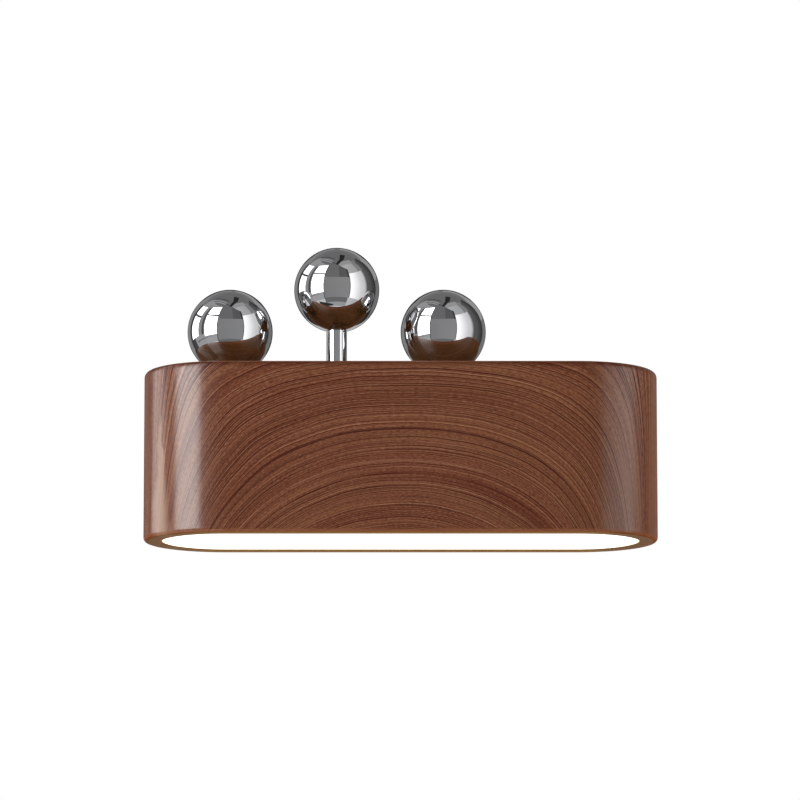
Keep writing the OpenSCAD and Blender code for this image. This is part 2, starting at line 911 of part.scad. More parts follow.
// Steel strap that hangs the push switch under the bush
module switch_strap() {
  color([0.75, 0.75, 0.77])
  difference() {
    translate([x_switch, yc + strap_w / 2, strap_top - sheet_t])
      rotate([90, 0, 0])
      linear_extrude(strap_w) {
        strap_half();
        mirror([1, 0]) strap_half();
      }
    translate([x_switch, yc, strap_top - sheet_t - 1])
      cylinder(d = plunger_d + 2 * plunger_clear, h = sheet_t + 2);
    for (s = [-1, 1])
      translate([x_switch, yc + s * switch_screw_y, strap_top - sheet_t - 1])
      cylinder(d = switch_screw_d + 2 * run_gap, h = sheet_t + 2);
    at_strap_feet() translate([0, 0, -sheet_t - 1])
      cylinder(d = strap_screw_d + 2 * run_gap, h = sheet_t + 2);
  }
}

// Wood screws of the strap
module strap_screws() {
  color([0.75, 0.75, 0.77])
  at_strap_feet() translate([0, 0, -sheet_t])
    screw_up(strap_screw_d, sheet_t + strap_screw_in, m3_head_d, m3_head_h);
}

// Body of the push switch, with two ears under the strap
module push_switch() {
  color([0.16, 0.16, 0.17])
  translate([x_switch, yc, strap_top - sheet_t])
  difference() {
    union() {
      translate([-switch_w / 2, -switch_w / 2, -switch_h]) cube([switch_w, switch_w, switch_h]);
      translate([-switch_ear_w / 2, -switch_ear, -switch_ear_t])
        cube([switch_ear_w, 2 * switch_ear, switch_ear_t]);
    }
    translate([0, 0, -plunger_in - press_travel - 1]) cylinder(d = plunger_d + 2 * run_gap, h = switch_h);
    for (s = [-1, 1])
      translate([0, s * switch_screw_y, -switch_ear_t - 1])
        cylinder(d = switch_screw_d + 2 * run_gap, h = switch_ear_t + 2);
  }
}

// Screws that hold the switch to the strap
module switch_screws() {
  color([0.75, 0.75, 0.77])
  for (s = [-1, 1])
    translate([x_switch, yc + s * switch_screw_y, strap_top - sheet_t - switch_ear_t])
    screw_up(switch_screw_d, switch_ear_t + sheet_t, switch_head_d, switch_head_h);
}

// Plunger of the switch, under the stem's end
module switch_plunger() {
  color([0.85, 0.2, 0.15])
  translate([x_switch, yc, strap_top - sheet_t - plunger_in])
  cylinder(d = plunger_d, h = plunger_in + sheet_t + stem_end - strap_top);
}

// Blade contacts under the switch
module switch_tabs() {
  color([0.8, 0.65, 0.3])
  for (s = [-1, 1])
    translate([x_switch + s * tab_x, yc, strap_top - sheet_t - switch_h - tab_size.z / 2])
    cube(tab_size, center = true);
}

// Steel plate in the rebate of the back, with keyholes for hanging
module back_plate() {
  color([0.75, 0.75, 0.77])
  difference() {
    stand_up(rebate_deep - sheet_t, rebate_deep) round_rect(plate_l, plate_h, plate_r);
    for (s = [-1, 1])
      translate([s * hang_x, 0, 0]) {
        bar_y(m4 + 2 * fit_gap, 0, rebate_deep + 1);
        translate([0, 0, -key_drop]) bar_y(key_d, 0, rebate_deep + 1);
        stand_up(0, rebate_deep + 1) translate([-m4 / 2 - fit_gap, -key_drop])
          square([m4 + 2 * fit_gap, key_drop]);
      }
    bar_y(grommet_seat_d + 2 * run_gap, 0, rebate_deep + 1);
    at_plate_screws() bar_y(m3 + 2 * run_gap, 0, rebate_deep + 1);
  }
}

// Screws of the back plate, through the wooden back
module back_plate_screws() {
  color([0.75, 0.75, 0.77])
  at_plate_screws()
    translate([0, sheet_t - rebate_deep, 0])
    rotate([90, 0, 0])
    screw_up(m3, sheet_t + wall_t - rebate_deep + plate_nut_h + screw_tip / 3, m3_head_d, m3_head_h);
}

// Nuts of the back plate inside the body
module back_plate_nuts() {
  color([0.75, 0.75, 0.77])
  at_plate_screws()
    translate([0, -wall_t, 0])
    rotate([90, 0, 0])
    difference() {
      hex(m3_nut_af, plate_nut_h);
      translate([0, 0, -1]) cylinder(d = m3 + 2 * run_gap, h = plate_nut_h + 2);
    }
}

// Rubber grommet where the supply cable comes in from the wall
module cable_grommet() {
  color([0.12, 0.12, 0.12])
  difference() {
    union() {
      bar_y(grommet_seat_d, rebate_deep - sheet_t - 1, rebate_deep + 1);
      bar_y(grommet_flange_d, rebate_deep - sheet_t - grommet_out_t, rebate_deep - sheet_t);
      bar_y(grommet_flange_d, rebate_deep, rebate_deep + grommet_in_t);
    }
    bar_y(cable_d, 0, rebate_deep + grommet_in_t + 1);
  }
}

// Steel strip that is screwed to the wall
module wall_bracket() {
  color([0.75, 0.75, 0.77])
  difference() {
    stand_up(0, sheet_t) round_rect(bracket_l, bracket_h, plate_r);
    for (s = [-1, 1]) {
      stand_up(-1, sheet_t + 1) translate([s * slot_pitch / 2, 0]) slot();
      translate([s * hang_x, 0, 0]) bar_y(m4 + 2 * run_gap, -1, sheet_t + 1);
    }
    translate([bracket_earth_x, 0, 0]) bar_y(m4 + 2 * run_gap, -1, sheet_t + 1);
    bar_y(bracket_hole_d, -1, sheet_t + 1);
  }
}

// Outline of one wall slot
module slot() {
  for (s = [-1, 1])
    translate([s * (slot_l - slot_w) / 2, 0]) circle(d = slot_w);
  square([slot_l - slot_w, slot_w], center = true);
}

// Screws in the bracket that the back plate hangs on
module hanging_screws() {
  color([0.75, 0.75, 0.77])
  for (s = [-1, 1])
    translate([s * hang_x, -rebate_deep - fit_gap, 0])
    rotate([-90, 0, 0])
    screw_up(m4, rebate_deep + fit_gap, hang_head_d, m4_head_h);
}

// Earth screw of the bracket
module bracket_earth_screw() {
  color([0.8, 0.65, 0.3])
  translate([bracket_earth_x, -sheet_t, 0])
  rotate([-90, 0, 0])
  screw_up(m4, sheet_t, m4_head_d, m4_head_h);
}

// Rubber grommet where the LED wires pass through the pan
module pan_grommet() {
  color([0.12, 0.12, 0.12])
  translate([post_x, yc, zp - pan_t])
  difference() {
    union() {
      cylinder(d = pan_hole_d, h = pan_t);
      for (z = [-pan_grommet_flange, pan_t])
        translate([0, 0, z]) cylinder(d = pan_hole_d + 2 * pan_grommet_lip, h = pan_grommet_flange);
    }
    translate([0, 0, -pan_grommet_flange - 1])
      cylinder(d = pan_hole_d - 2 * pan_grommet_wall, h = pan_t + 2 * pan_grommet_flange + 2);
  }
}

// Earth screw on the pan
module earth_screw() {
  color([0.8, 0.65, 0.3])
  translate([lug_x, block_y, zp + lug_t])
  rotate([180, 0, 0])
  screw_up(m4, lug_t + pan_t + screw_tip, m4_head_d, m4_head_h);
}

// Ring terminal of the earth wire, with its crimped barrel
module earth_ring() {
  color([0.8, 0.8, 0.82])
  translate([lug_x, block_y, zp])
  rotate(90)
  difference() {
    union() {
      cylinder(d = ring_d, h = lug_t);
      translate([-ring_wire_y - barrel_l / 2, -wire_d, 0]) cube([ring_wire_y, 2 * wire_d, lug_t]);
      translate([-ring_wire_y - barrel_l, 0, ring_wire_up])
        rotate([0, 90, 0])
        cylinder(d = wire_hole_d + 2 * barrel_t, h = barrel_l + 1);
    }
    translate([0, 0, -1]) cylinder(d = m4 + 2 * run_gap, h = lug_t + 2);
    translate([-ring_wire_y - barrel_l - 1, 0, ring_wire_up])
      rotate([0, 90, 0])
      cylinder(d = wire_hole_d, h = barrel_l + 3);
    translate([-ring_wire_y - barrel_l - 1, -ring_d, -ring_d]) cube([4 * ring_d, 2 * ring_d, ring_d]);
  }
}

// Live wire from the terminal block to the switch, and on to the driver
module live_wires() {
  start = [block_x, block_y - block_d / 2 + wire_in, zp + pole_up];
  tab = [x_switch, yc, strap_top - sheet_t - switch_h - tab_size.z / 2];
  in_x = tab_x + tab_size.x / 2 + 0.2;
  first_end = tab - [in_x, 0, 0];
  second_start = tab + [in_x, 0, 0];
  driver_in = [driver_x + wire_in, yc + driver_wire_y, zp + driver_wire_up];
  color([0.45, 0.25, 0.12]) {
    wire(lead(start, -stub_y, [0, -live_pull, 0], first_end, [-1, 0, 0], [-live_pull, 0, 0], 10), wire_d);
    wire(lead(second_start, [1, 0, 0], [feed_pull, 0, 0], driver_in, -stub_x, [-feed_pull, 0, 0], 8), wire_d);
  }
}

// Neutral wire from the terminal block, round the front of the switch, to the driver
module neutral_wire() {
  start = [block_x - pole_pitch, block_y - block_d / 2 + wire_in, zp + pole_up];
  driver_in = [driver_x + wire_in, yc - driver_wire_y, zp + driver_wire_up];
  color([0.15, 0.3, 0.65])
  wire(lead(start, -stub_y, [0, -neutral_out, 0], driver_in, -stub_x, -neutral_in, 16), wire_d);
}

// Earth wire from the terminal block to the pan
module earth_wire() {
  start = [block_x + pole_pitch, block_y - block_d / 2 + wire_in, zp + pole_up];
  ring_in = [lug_x, block_y - ring_wire_y, zp + ring_wire_up];
  color([0.3, 0.55, 0.2])
  wire(lead(start, -stub_y, [0, -earth_pull, 0], ring_in, -stub_y, [0, -earth_pull, 0], 10), wire_d);
}

// Wires from the driver, down through the pan, to the board
module led_wires() {
  color([0.75, 0.15, 0.12])
  for (s = [-1, 1]) {
    driver_out = [driver_x + driver_l - wire_in, yc + s * driver_wire_y, zp + driver_wire_up];
    over = [post_x, yc + s * led_wire_y, zp + pan_grommet_flange];
    under = [post_x, yc + s * led_wire_y, zp - pan_t - 2 * pan_grommet_flange];
    leaves = driver_out + stub_x;
    board_in = [plug_x + plug_size.x - plug_wire_in, yc + s * plug_wire_y, zboard - plug_size.z / 2];
    enters = board_in + [plug_wire_in + 1, 0, 0];
    wire(
      concat(
        [driver_out],
        curve(leaves, leaves + [led_pull, 0, 0], over + [0, 0, led_pull], over, 8),
        curve(under, under - [0, 0, led_pull / 2], enters + [led_pull, 0, 0], enters, 8),
        [board_in]
      ),
      led_wire_d
    );
  }
}
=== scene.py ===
# %% [markdown]
# # A wooden wall lamp with three chrome balls
# The lamp is an oblong walnut shell, open below, with an opal diffuser in its mouth.
# Three chrome balls stand on its top, and the middle one is pressed down to switch the light.
# The construction model is loaded first, as a frame that nothing here moves.
# One could model everything again from nothing, but then each screw would have to be fitted twice.
# So the wood, the chrome, the diffuser and one spring are made here, finer, and the rest only gets
# a finish.

# %% Load the construction model
import json
import math

import bmesh
import bpy
from mathutils import Matrix, Vector


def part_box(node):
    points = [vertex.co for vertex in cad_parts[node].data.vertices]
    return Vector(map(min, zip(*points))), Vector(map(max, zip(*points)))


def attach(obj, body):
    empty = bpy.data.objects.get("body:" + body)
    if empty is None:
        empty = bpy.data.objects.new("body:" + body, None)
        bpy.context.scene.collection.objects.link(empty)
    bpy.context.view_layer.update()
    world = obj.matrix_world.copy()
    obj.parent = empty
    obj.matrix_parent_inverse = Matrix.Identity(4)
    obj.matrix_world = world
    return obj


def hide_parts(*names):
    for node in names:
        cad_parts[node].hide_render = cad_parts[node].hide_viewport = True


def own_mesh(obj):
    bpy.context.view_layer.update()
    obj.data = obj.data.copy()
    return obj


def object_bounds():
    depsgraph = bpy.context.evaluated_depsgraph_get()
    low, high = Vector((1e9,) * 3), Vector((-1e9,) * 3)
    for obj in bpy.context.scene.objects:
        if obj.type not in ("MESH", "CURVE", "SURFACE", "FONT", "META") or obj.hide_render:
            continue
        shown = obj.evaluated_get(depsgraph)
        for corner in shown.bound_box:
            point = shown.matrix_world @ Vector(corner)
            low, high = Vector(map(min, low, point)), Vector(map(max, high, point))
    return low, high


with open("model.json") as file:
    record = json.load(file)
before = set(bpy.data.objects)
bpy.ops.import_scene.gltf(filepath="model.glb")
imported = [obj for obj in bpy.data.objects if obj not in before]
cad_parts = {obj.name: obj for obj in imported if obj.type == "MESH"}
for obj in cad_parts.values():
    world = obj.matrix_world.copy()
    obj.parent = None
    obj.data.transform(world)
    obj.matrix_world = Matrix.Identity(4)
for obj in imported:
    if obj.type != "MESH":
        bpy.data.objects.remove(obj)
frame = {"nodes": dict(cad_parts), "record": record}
nodes = frame["nodes"]
cad_low, cad_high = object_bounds()
MM = 0.001
TO_MM = 1000.0
print(len(nodes), "nodes, box", [round(v * TO_MM, 1) for v in cad_high - cad_low], "mm")

# %% [markdown]
# The camera stands a little below the lamp and far away, and looks up by nine degrees.
# A long lens keeps the two ends of the lamp almost parallel.
# The lens could be guessed by eye, but the round outlines of the balls and the corners of the mouth
# fix it much more exactly, so these numbers come from such a fit.

# %% Camera
CAMERA_AT = (-0.00035, -3.2937, -0.4898)
LOOKS_UP = 0.157
LENS = 252.56
SENSOR = 36.0
scene = bpy.context.scene
camera_data = bpy.data.cameras.new("camera")
camera_data.sensor_width = SENSOR
camera_data.lens = LENS
camera_data.clip_end = 50.0
camera = bpy.data.objects.new("camera", camera_data)
camera.location = CAMERA_AT
camera.rotation_euler = (math.pi / 2 + LOOKS_UP, 0.0, 0.0)
scene.collection.objects.link(camera)
scene.camera = camera
scene.view_settings.view_transform = "Standard"
lamp_middle = (Vector(cad_low) + Vector(cad_high)) / 2
print("camera", round((camera.location - lamp_middle).length, 2), "m away")

# %% [markdown]
# A finish is a small web of shader nodes. Wiring each node by hand is long and hard to read.
# So a Signal wraps one output, and sums on it add Math nodes, while a Finish adds any other node
# by its type, its settings and its sockets. Then a pattern reads like a formula.

# %% Signals
class Signal:
    """One output of a shader node. Sums on it become Math nodes."""

    def __init__(self, finish, socket):
        self.finish = finish
        self.socket = socket

    def math(self, operation, *values):
        return self.finish.node("ShaderNodeMath", {"operation": operation}, dict(enumerate(values)))

    def __add__(self, other):
        return self.math("ADD", self, other)

    def __sub__(self, other):
        return self.math("SUBTRACT", self, other)

    def __rsub__(self, other):
        return self.math("SUBTRACT", other, self)

    def __mul__(self, other):
        return self.math("MULTIPLY", self, other)

    def __truediv__(self, other):
        return self.math("DIVIDE", self, other)

    def __pow__(self, other):
        return self.math("POWER", self, other)

    def __abs__(self):
        return self.math("ABSOLUTE", self)

    def at_least(self, other):
        return self.math("MAXIMUM", self, other)

    __radd__ = __add__
    __rmul__ = __mul__


print("a Signal knows + - * / ** and abs")


# %% Finishes
class Finish:
    """One material: a shader with its constants, and the nodes that feed it."""

    def __init__(self, name, **constants):
        self.material = bpy.data.materials.new(name)
        self.material.use_nodes = True
        self.tree = self.material.node_tree
        self.shader = self.tree.nodes["Principled BSDF"]
        for socket, value in constants.items():
            self.shader.inputs[socket.replace("_", " ")].default_value = value

    def node(self, kind, settings=None, sockets=None, output=0):
        made = self.tree.nodes.new(kind)
        for key, value in (settings or {}).items():
            if key == "stops":
                ramp = made.color_ramp.elements
                while len(ramp) < len(value):
                    ramp.new(1.0)
                for stop, (position, colour) in zip(ramp, value):
                    stop.position = position
                    stop.color = colour
            else:
                setattr(made, key, value)
        for key, value in (sockets or {}).items():
            self.feed(made.inputs[key], value)
        return Signal(self, made.outputs[output])

    def feed(self, socket, value):
        if isinstance(value, Signal):
            self.tree.links.new(value.socket, socket)
        else:
            socket.default_value = value

    def wear(self, **signals):
        for socket, signal in signals.items():
            self.feed(self.shader.inputs[socket.replace("_", " ")], signal)
        print("finish", self.material.name, len(self.tree.nodes), "nodes")
        return self.material


print("a Finish starts from the standard shader")

# %% [markdown]
# Colours are easiest to write as the eye sees them, from 0 to 255, as on a paint card.
# The shader wants amounts of light, so a small function turns one into the other.
# More helpers give the place on the piece in millimetres, a soft step, a noise, a mix of two
# colours and a relief that bends the light as if the surface were uneven.

# %% Colour, place, step, noise, blend and bump
def paint(red, green, blue):
    def light(c):
        return c / 255 / 12.92 if c < 10 else ((c / 255 + 0.055) / 1.055) ** 2.4

    return (light(red), light(green), light(blue), 1.0)


def place(finish):
    here = finish.node("ShaderNodeTexCoord", output="Object")
    return [finish.node("ShaderNodeSeparateXYZ", None, {0: here}, axis) * TO_MM for axis in "XYZ"]


def step(value, low, high, out_low=0.0, out_high=1.0):
    sockets = {"Value": value, "From Min": low, "From Max": high, "To Min": out_low, "To Max": out_high}
    return value.finish.node("ShaderNodeMapRange", {"interpolation_type": "SMOOTHSTEP"}, sockets)


def noise(finish, x, y=0.0, z=0.0, detail=2.0):
    spot = finish.node("ShaderNodeCombineXYZ", None, {0: x, 1: y, 2: z})
    sockets = {"Vector": spot, "Scale": 1.0, "Detail": detail, "Roughness": 0.5}
    return finish.node("ShaderNodeTexNoise", {"noise_dimensions": "3D"}, sockets)


def blend(factor, first, second):
    sockets = {0: factor, 6: first, 7: second}
    return factor.finish.node("ShaderNodeMix", {"data_type": "RGBA"}, sockets, 2)


def bump(height, depth, strength):
    sockets = {"Strength": strength, "Distance": depth, "Height": height}
    return height.finish.node("ShaderNodeBump", None, sockets)


print("mid brown is", [round(c, 3) for c in paint(125, 80, 57)[:3]], "in amounts of light")

# %% [markdown]
# The body is covered with walnut veneer whose growth rings show as wide arches on the front.
# A picture of wood could be stretched over it, but it would smear at the round ends.
# So the pattern is worked out from the place on the piece. First the veneer is unrolled:
# along is the way round the outline and up is the height, and both run on over the edges.
# The spine is the middle line of the oblong, from the centre of one round end to the other.

# %% Size of the shell
shell_low, shell_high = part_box("wood_body")
SHELL_DEPTH = (shell_high.y - shell_low.y) * TO_MM
TOP = shell_high.z * TO_MM
FOOT = shell_low.z * TO_MM
HALF_LENGTH = round(shell_high.x * TO_MM)  # the facets of the round ends fall a hair short of it
END_RADIUS = SHELL_DEPTH / 2
END_CENTRE = HALF_LENGTH - END_RADIUS
RIM_WIDTH = 10.5
print("shell", 2 * HALF_LENGTH, "by", round(SHELL_DEPTH), "by", round(TOP - FOOT), "mm")


# %% Unroll the veneer
def spine(x, y):
    """How far a place lies past an end of the spine, off to its side, and from it in all."""
    past_end = (abs(x) - END_CENTRE).at_least(0.0)
    off_side = abs(y + END_RADIUS)
    return past_end, off_side, (past_end * past_end + off_side * off_side) ** 0.5


wood = Finish("walnut_veneer", Coat_Roughness=0.23, Coat_IOR=1.9, Specular_IOR_Level=0.05)
x, y, z = place(wood)
past_end, off_side, from_spine = spine(x, y)
turn = past_end.math("ARCTAN2", past_end, off_side)
along_side = x.math("SIGN", x) * (abs(x) - past_end + turn * END_RADIUS)
on_top = step(from_spine, END_RADIUS - 0.8, END_RADIUS - 2.2) * step(z, TOP - 4.0, TOP - 2.5)
under_rim = step(z, FOOT + 2.4, FOOT + 1.0) * (END_RADIUS - from_spine)
along = along_side + on_top * (x - along_side)
up = z - under_rim + on_top * (TOP + y + SHELL_DEPTH - z)
print("veneer runs", round(4 * END_CENTRE + 2 * math.pi * END_RADIUS), "mm round the shell")

# %% [markdown]
# The arches are shallow in the middle and turn steep towards the ends, and they lean a little.
# Circles are too round for that, so each arch is a parabola with a much stiffer power added,
# and both grow flatter with height. The level of the arch stands for the age of the ring.
# Slow noise bends the rings a little, because no tree grows evenly, and the outermost ones
# are twice as wide.

# %% Growth rings
ARCH_MIDDLE = 3.6
ARCH_LEAN = 0.06
ARCH_REACH = 100.0
ARCH_BOW, BOW_FLATTENS = 27.6, 0.575
ARCH_STEEP, STEEP_POWER, STEEP_FLATTENS = 2.7, 5.63, 0.364
HEIGHT_STEP = 50.0
WIDE_FROM = 64.0
higher = (up + 10.0) / HEIGHT_STEP
aside = (along - ARCH_MIDDLE - higher * HEIGHT_STEP * ARCH_LEAN) / ARCH_REACH
bow = aside * aside * ARCH_BOW * (1.0 - higher * BOW_FLATTENS)
steep = abs(aside) ** STEEP_POWER * ARCH_STEEP * (1.0 - higher * STEEP_FLATTENS)
level = up + bow + steep
around = along - up * aside * 0.6
sway = noise(wood, along * 0.014, up * 0.014, 3.0, detail=1.0) - 0.5
ripple = noise(wood, along * 0.06, up * 0.06, 7.0, detail=1.0) - 0.5
bent = level + sway * 5.0 + ripple * 0.6
ring = bent - (bent - WIDE_FROM).at_least(0.0) * 0.5
print("an arch falls", ARCH_BOW + ARCH_STEEP, "mm at", ARCH_REACH, "mm from its middle")

# %% [markdown]
# Each year the wood grows pale first and darker later, and stops with a thin dark line.
# A saw-tooth of the ring number has that form. The teeth are unevenly wide, since years differ,
# and each line has its own luck: some are strong, some faint, and all fade in and out on their way.

# %% Year lines
def years(rate, unevenness, seed):
    """Saw-tooth over one growth period, and a random number for each period."""
    shift = noise(wood, ring * rate * 0.45, around * 0.0006, seed, detail=1.0)
    phase = ring * rate + shift * unevenness
    tooth = phase.math("FRACT", phase)
    number = phase.math("FLOOR", phase) + seed
    luck = wood.node("ShaderNodeTexWhiteNoise", {"noise_dimensions": "1D"}, {"W": number}, "Value")
    return tooth, luck


def fades(seed, least, across=0.3, length=0.014):
    return step(noise(wood, ring * across, around * length, seed, detail=1.0), 0.38, 0.58, least, 1.0)


tooth, luck = years(0.2, 1.8, 31.0)
dark_line = step(tooth, 0.88, 0.94) * step(luck, 0.1, 0.8, 0.15, 1.0) * fades(43.0, 0.6)
late_wood = step(tooth, 0.4, 0.95) * luck
tooth, luck = years(0.6, 1.8, 37.0)
thin_line = step(tooth, 0.7, 0.82) * step(luck, 0.1, 0.9, 0.15, 1.0) * fades(47.0, 0.55)
tooth, luck = years(0.93, 2.4, 61.0)
hair_line = step(tooth, 0.62, 0.74) * step(luck, 0.0, 0.7, 0.25, 1.0) * fades(67.0, 0.55, 0.5, 0.02)
tooth, luck = years(0.5, 1.8, 41.0)
pale_line = step(tooth, 0.72, 0.84) * step(luck, 0.2, 0.9, 0.15, 1.0) * fades(53.0, 0.25)
print("four kinds of lines,", len(wood.tree.nodes), "nodes so far")

# %% [markdown]
# Between the lines the wood is full of fibres and of short open pores that follow the rings.
# Both are noise drawn out along the ring: fine across it and long with it.
# At the ends the saw runs almost along the rings, so the tones there are broader.
# On the left end one ring is cut so flat that it shows as a pale tongue, wider towards its foot.

# %% Tones, fibres and pores
TONGUE_AT = -144.5
broad = noise(wood, ring * 0.07, around * 0.004, 11.0, detail=1.0) - 0.5
streak = noise(wood, ring * 0.25, around * 0.004, 19.0, detail=1.0) - 0.5
fibre = noise(wood, ring * 2.7, around * 0.4, 23.0, detail=1.0) - 0.5
pore = step(noise(wood, ring * 2.6, around * 0.3, 59.0, detail=1.0), 0.55, 0.64)
golden = step(broad, -0.12, 0.16)
near_end = step(abs(aside), 0.95, 1.35)
tongue_width = step(up, FOOT, 10.0, 8.0, 1.0)
off_tongue = abs(along - TONGUE_AT + ripple * 6.0) / tongue_width
tongue = step(off_tongue, 1.35, 0.35) * step(up, 14.0, 2.0)
print("tones, fibres and pores,", len(wood.tree.nodes), "nodes so far")

# %% [markdown]
# Walnut runs from a dark to a pale brown, with golden zones where it grew fast.
# Each kind of line could have a shader of its own, but a veneer is one skin.
# So a ramp gives the ground, and the lines are laid over it one by one, like glazes of stain.

# %% Walnut colour
# The step over along darkens the right half of the front a little: painted shade, away from the windows on
# the left.
depth_of_tone = (
    0.58 + broad * (0.62 + near_end * 0.2) + streak * (0.2 + near_end * 0.24)
    + fibre * 1.1 - late_wood * 0.08 - step(along, 20.0, 120.0) * (1.0 - near_end) * 0.07
)
walnut_stops = [
    (0.15, paint(76, 30, 6)),
    (0.35, paint(90, 44, 20)),
    (0.5, paint(102, 57, 35)),
    (0.7, paint(117, 73, 51)),
    (0.9, paint(132, 89, 67)),
]
drawn = 1.0 - on_top * 0.5
glazes = [
    (golden * 0.3, paint(112, 71, 38)),
    (pale_line * drawn * (0.55 - near_end * 0.25), paint(160, 114, 84)),
    (dark_line * drawn, paint(46, 7, 0)),
    (thin_line * drawn, paint(46, 7, 0)),
    (hair_line * drawn, paint(56, 12, 0)),
    (pore * drawn * 0.4, paint(56, 14, 1)),
    (tongue * 0.48, paint(150, 122, 100)),
]
walnut = wood.node("ShaderNodeValToRGB", {"stops": walnut_stops}, {0: depth_of_tone})
for share, colour in glazes:
    walnut = blend(share, walnut, colour)
print(len(glazes), "glazes over a ramp of", len(walnut_stops), "browns")

# %% [markdown]
# The edges get painted light and shade as well as their own colour. The rounded upper edge is darkened:
# painted shade.
# The foot is lighter and warmer: a painted glow of the diffuser's light. The cut edge round the mouth
# is bare wood and shows the core of the board, with a painted glow over it: golden along the straight run,
# greyer at the bent ends and paler on the underside. Where the wall turns inside it is darkened: painted
# shade.
# These zones are found by height and by the distance from the spine, so they follow the outline.

# %% Edges of the wood: painted light and shade
upper_edge = step(z, TOP - 4.5, TOP - 1.0) * (1.0 - on_top)
cut_edge = step(z, FOOT + 1.0, FOOT + 0.1)
foot_glow_painted = step(z, FOOT + 2.6, FOOT + 0.8) * (1.0 - cut_edge)
straight_run = step(abs(x), 105.0, 140.0, 1.0, 0.45)
underside = cut_edge * step(from_spine, END_RADIUS - 1.5, END_RADIUS - 3.0)
MOUTH = END_RADIUS - RIM_WIDTH
inner_wall_shade = step(from_spine, MOUTH + 0.35, MOUTH + 0.1)
edge_tones_and_light = [
    # Painted shade: the rounded upper edge is darkened.
    (upper_edge * 0.6, paint(46, 14, 2)),
    # Painted glow: the foot is lighter and warmer, as if lit by the diffuser.
    (foot_glow_painted * 0.45, paint(150, 84, 46)),
    # The bare cut edge: partly the lighter core of the board, partly a painted glow of the diffuser's
    # light.
    (cut_edge * straight_run * 0.42, paint(190, 114, 52)),
    # The underside of the rim: bare wood, made paler by a painted glow along the straight run and greyer
    # at the ends.
    (underside * straight_run * 0.4, paint(196, 170, 118)),
    (underside * (1.0 - straight_run) * 0.6, paint(146, 118, 100)),
    # Painted shade: the wall is darkened where it turns inside the mouth.
    (inner_wall_shade * 0.6, paint(70, 44, 10)),
]
for share, colour in edge_tones_and_light:
    walnut = blend(share, walnut, colour)
print(len(edge_tones_and_light), "tones for the edges")

# %% [markdown]
# The lacquer is clear and half glossy: it mirrors the windows softly but lets the wood show.
# It could be mixed from two shaders, but the coat layer of the standard one is made for this.
# The bent shoulders were polished most, and there lines and pores break the gloss.
# The top and the upper edge are duller, and the cut edge has no lacquer at all.

# %% Lacquer
left_shoulder = step(x, -96.0, -112.0) * step(x, -150.5, -144.5, 0.3, 1.0) * 0.47
right_shoulder = step(x, 116.0, 136.0) * step(x, 149.0, 141.0, 0.3, 1.0)
broken = thin_line * 0.3 + hair_line * 0.25 + dark_line * 0.25 + pore * 0.15
polish = 0.25 + (left_shoulder + right_shoulder) * (0.75 - broken)
lacquered = (1.0 - on_top * 0.7) * (1.0 - upper_edge * 0.6) * (1.0 - cut_edge)
wood.wear(
    Base_Color=walnut,
    Roughness=0.48 + fibre * 0.12 + cut_edge * 0.45,
    Coat_Weight=polish * lacquered,
    Normal=bump(0.0 - dark_line * 0.4 - pore * 0.6, 0.00012, 0.35),
)

# %% [markdown]
# New pieces are shaped with the same moves as at a bench: draw a line, sweep it, round an edge.
# Lists of corners and faces could be worked out by hand, but the mesh operators do that safely.
# A finished piece then gets its smooth shading, its finish and its place among the bodies.

# %% Helpers for new pieces
def polyline(bm, points):
    dots = [bm.verts.new(point) for point in points]
    lines = [bm.edges.new(pair) for pair in zip(dots, dots[1:])]
    return dots + lines


def verts_of(geom):
    return [v for v in geom if isinstance(v, bmesh.types.BMVert)]


def edges_of(geom):
    return [e for e in geom if isinstance(e, bmesh.types.BMEdge)]


def edges_where(bm, test):
    return [e for e in bm.edges if all(test(v.co) for v in e.verts)]


def tidy(bm):
    bmesh.ops.remove_doubles(bm, verts=bm.verts, dist=2e-6)
    bmesh.ops.dissolve_degenerate(bm, edges=bm.edges, dist=1e-6)
    bmesh.ops.recalc_face_normals(bm, faces=bm.faces)


def round_off(bm, edges, radius, segments):
    bmesh.ops.bevel(
        bm, geom=edges, offset=radius, offset_type="OFFSET", segments=segments, profile=0.5,
        affect="EDGES", material=-1, clamp_overlap=False,
    )


print("helpers for lines, edges and rounding are ready")


# %% Finish a piece
CREASE = 32


def as_object(name, bm, material):
    mesh = bpy.data.meshes.new(name)
    bm.to_mesh(mesh)
    bm.free()
    mesh.materials.append(material)
    made = bpy.data.objects.new(name, mesh)
    scene.collection.objects.link(made)
    return made


def finished(name, bm, body, slot, material, *stands_for, crease=CREASE):
    piece = as_object(name, bm, material)
    mesh = piece.data
    mesh.polygons.foreach_set("use_smooth", [True] * len(mesh.polygons))
    mesh.set_sharp_from_angle(angle=math.radians(crease))
    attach(piece, body)
    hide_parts(*stands_for)
    size = [round(v / MM, 1) for v in piece.dimensions]
    print("piece", name, len(mesh.polygons), "faces,", size, "mm")
    return piece


print("pieces are smooth up to a crease of", CREASE, "degrees")

# %% [markdown]
# The shell itself is one wall that runs round the oblong outline. A joiner bends and glues it.
# Here its cross-section is drawn once as a line of edges, spun round one end, drawn straight along
# the back, spun round the other end and drawn back to the start. A Boolean of blocks could give the
# same form, but spinning keeps the faces even, so the round ends mirror the light without facets.

# %% Sweep a cross-section round an oblong
MIDDLE_Y = (shell_low.y + shell_high.y) / 2
END_STEPS = 64


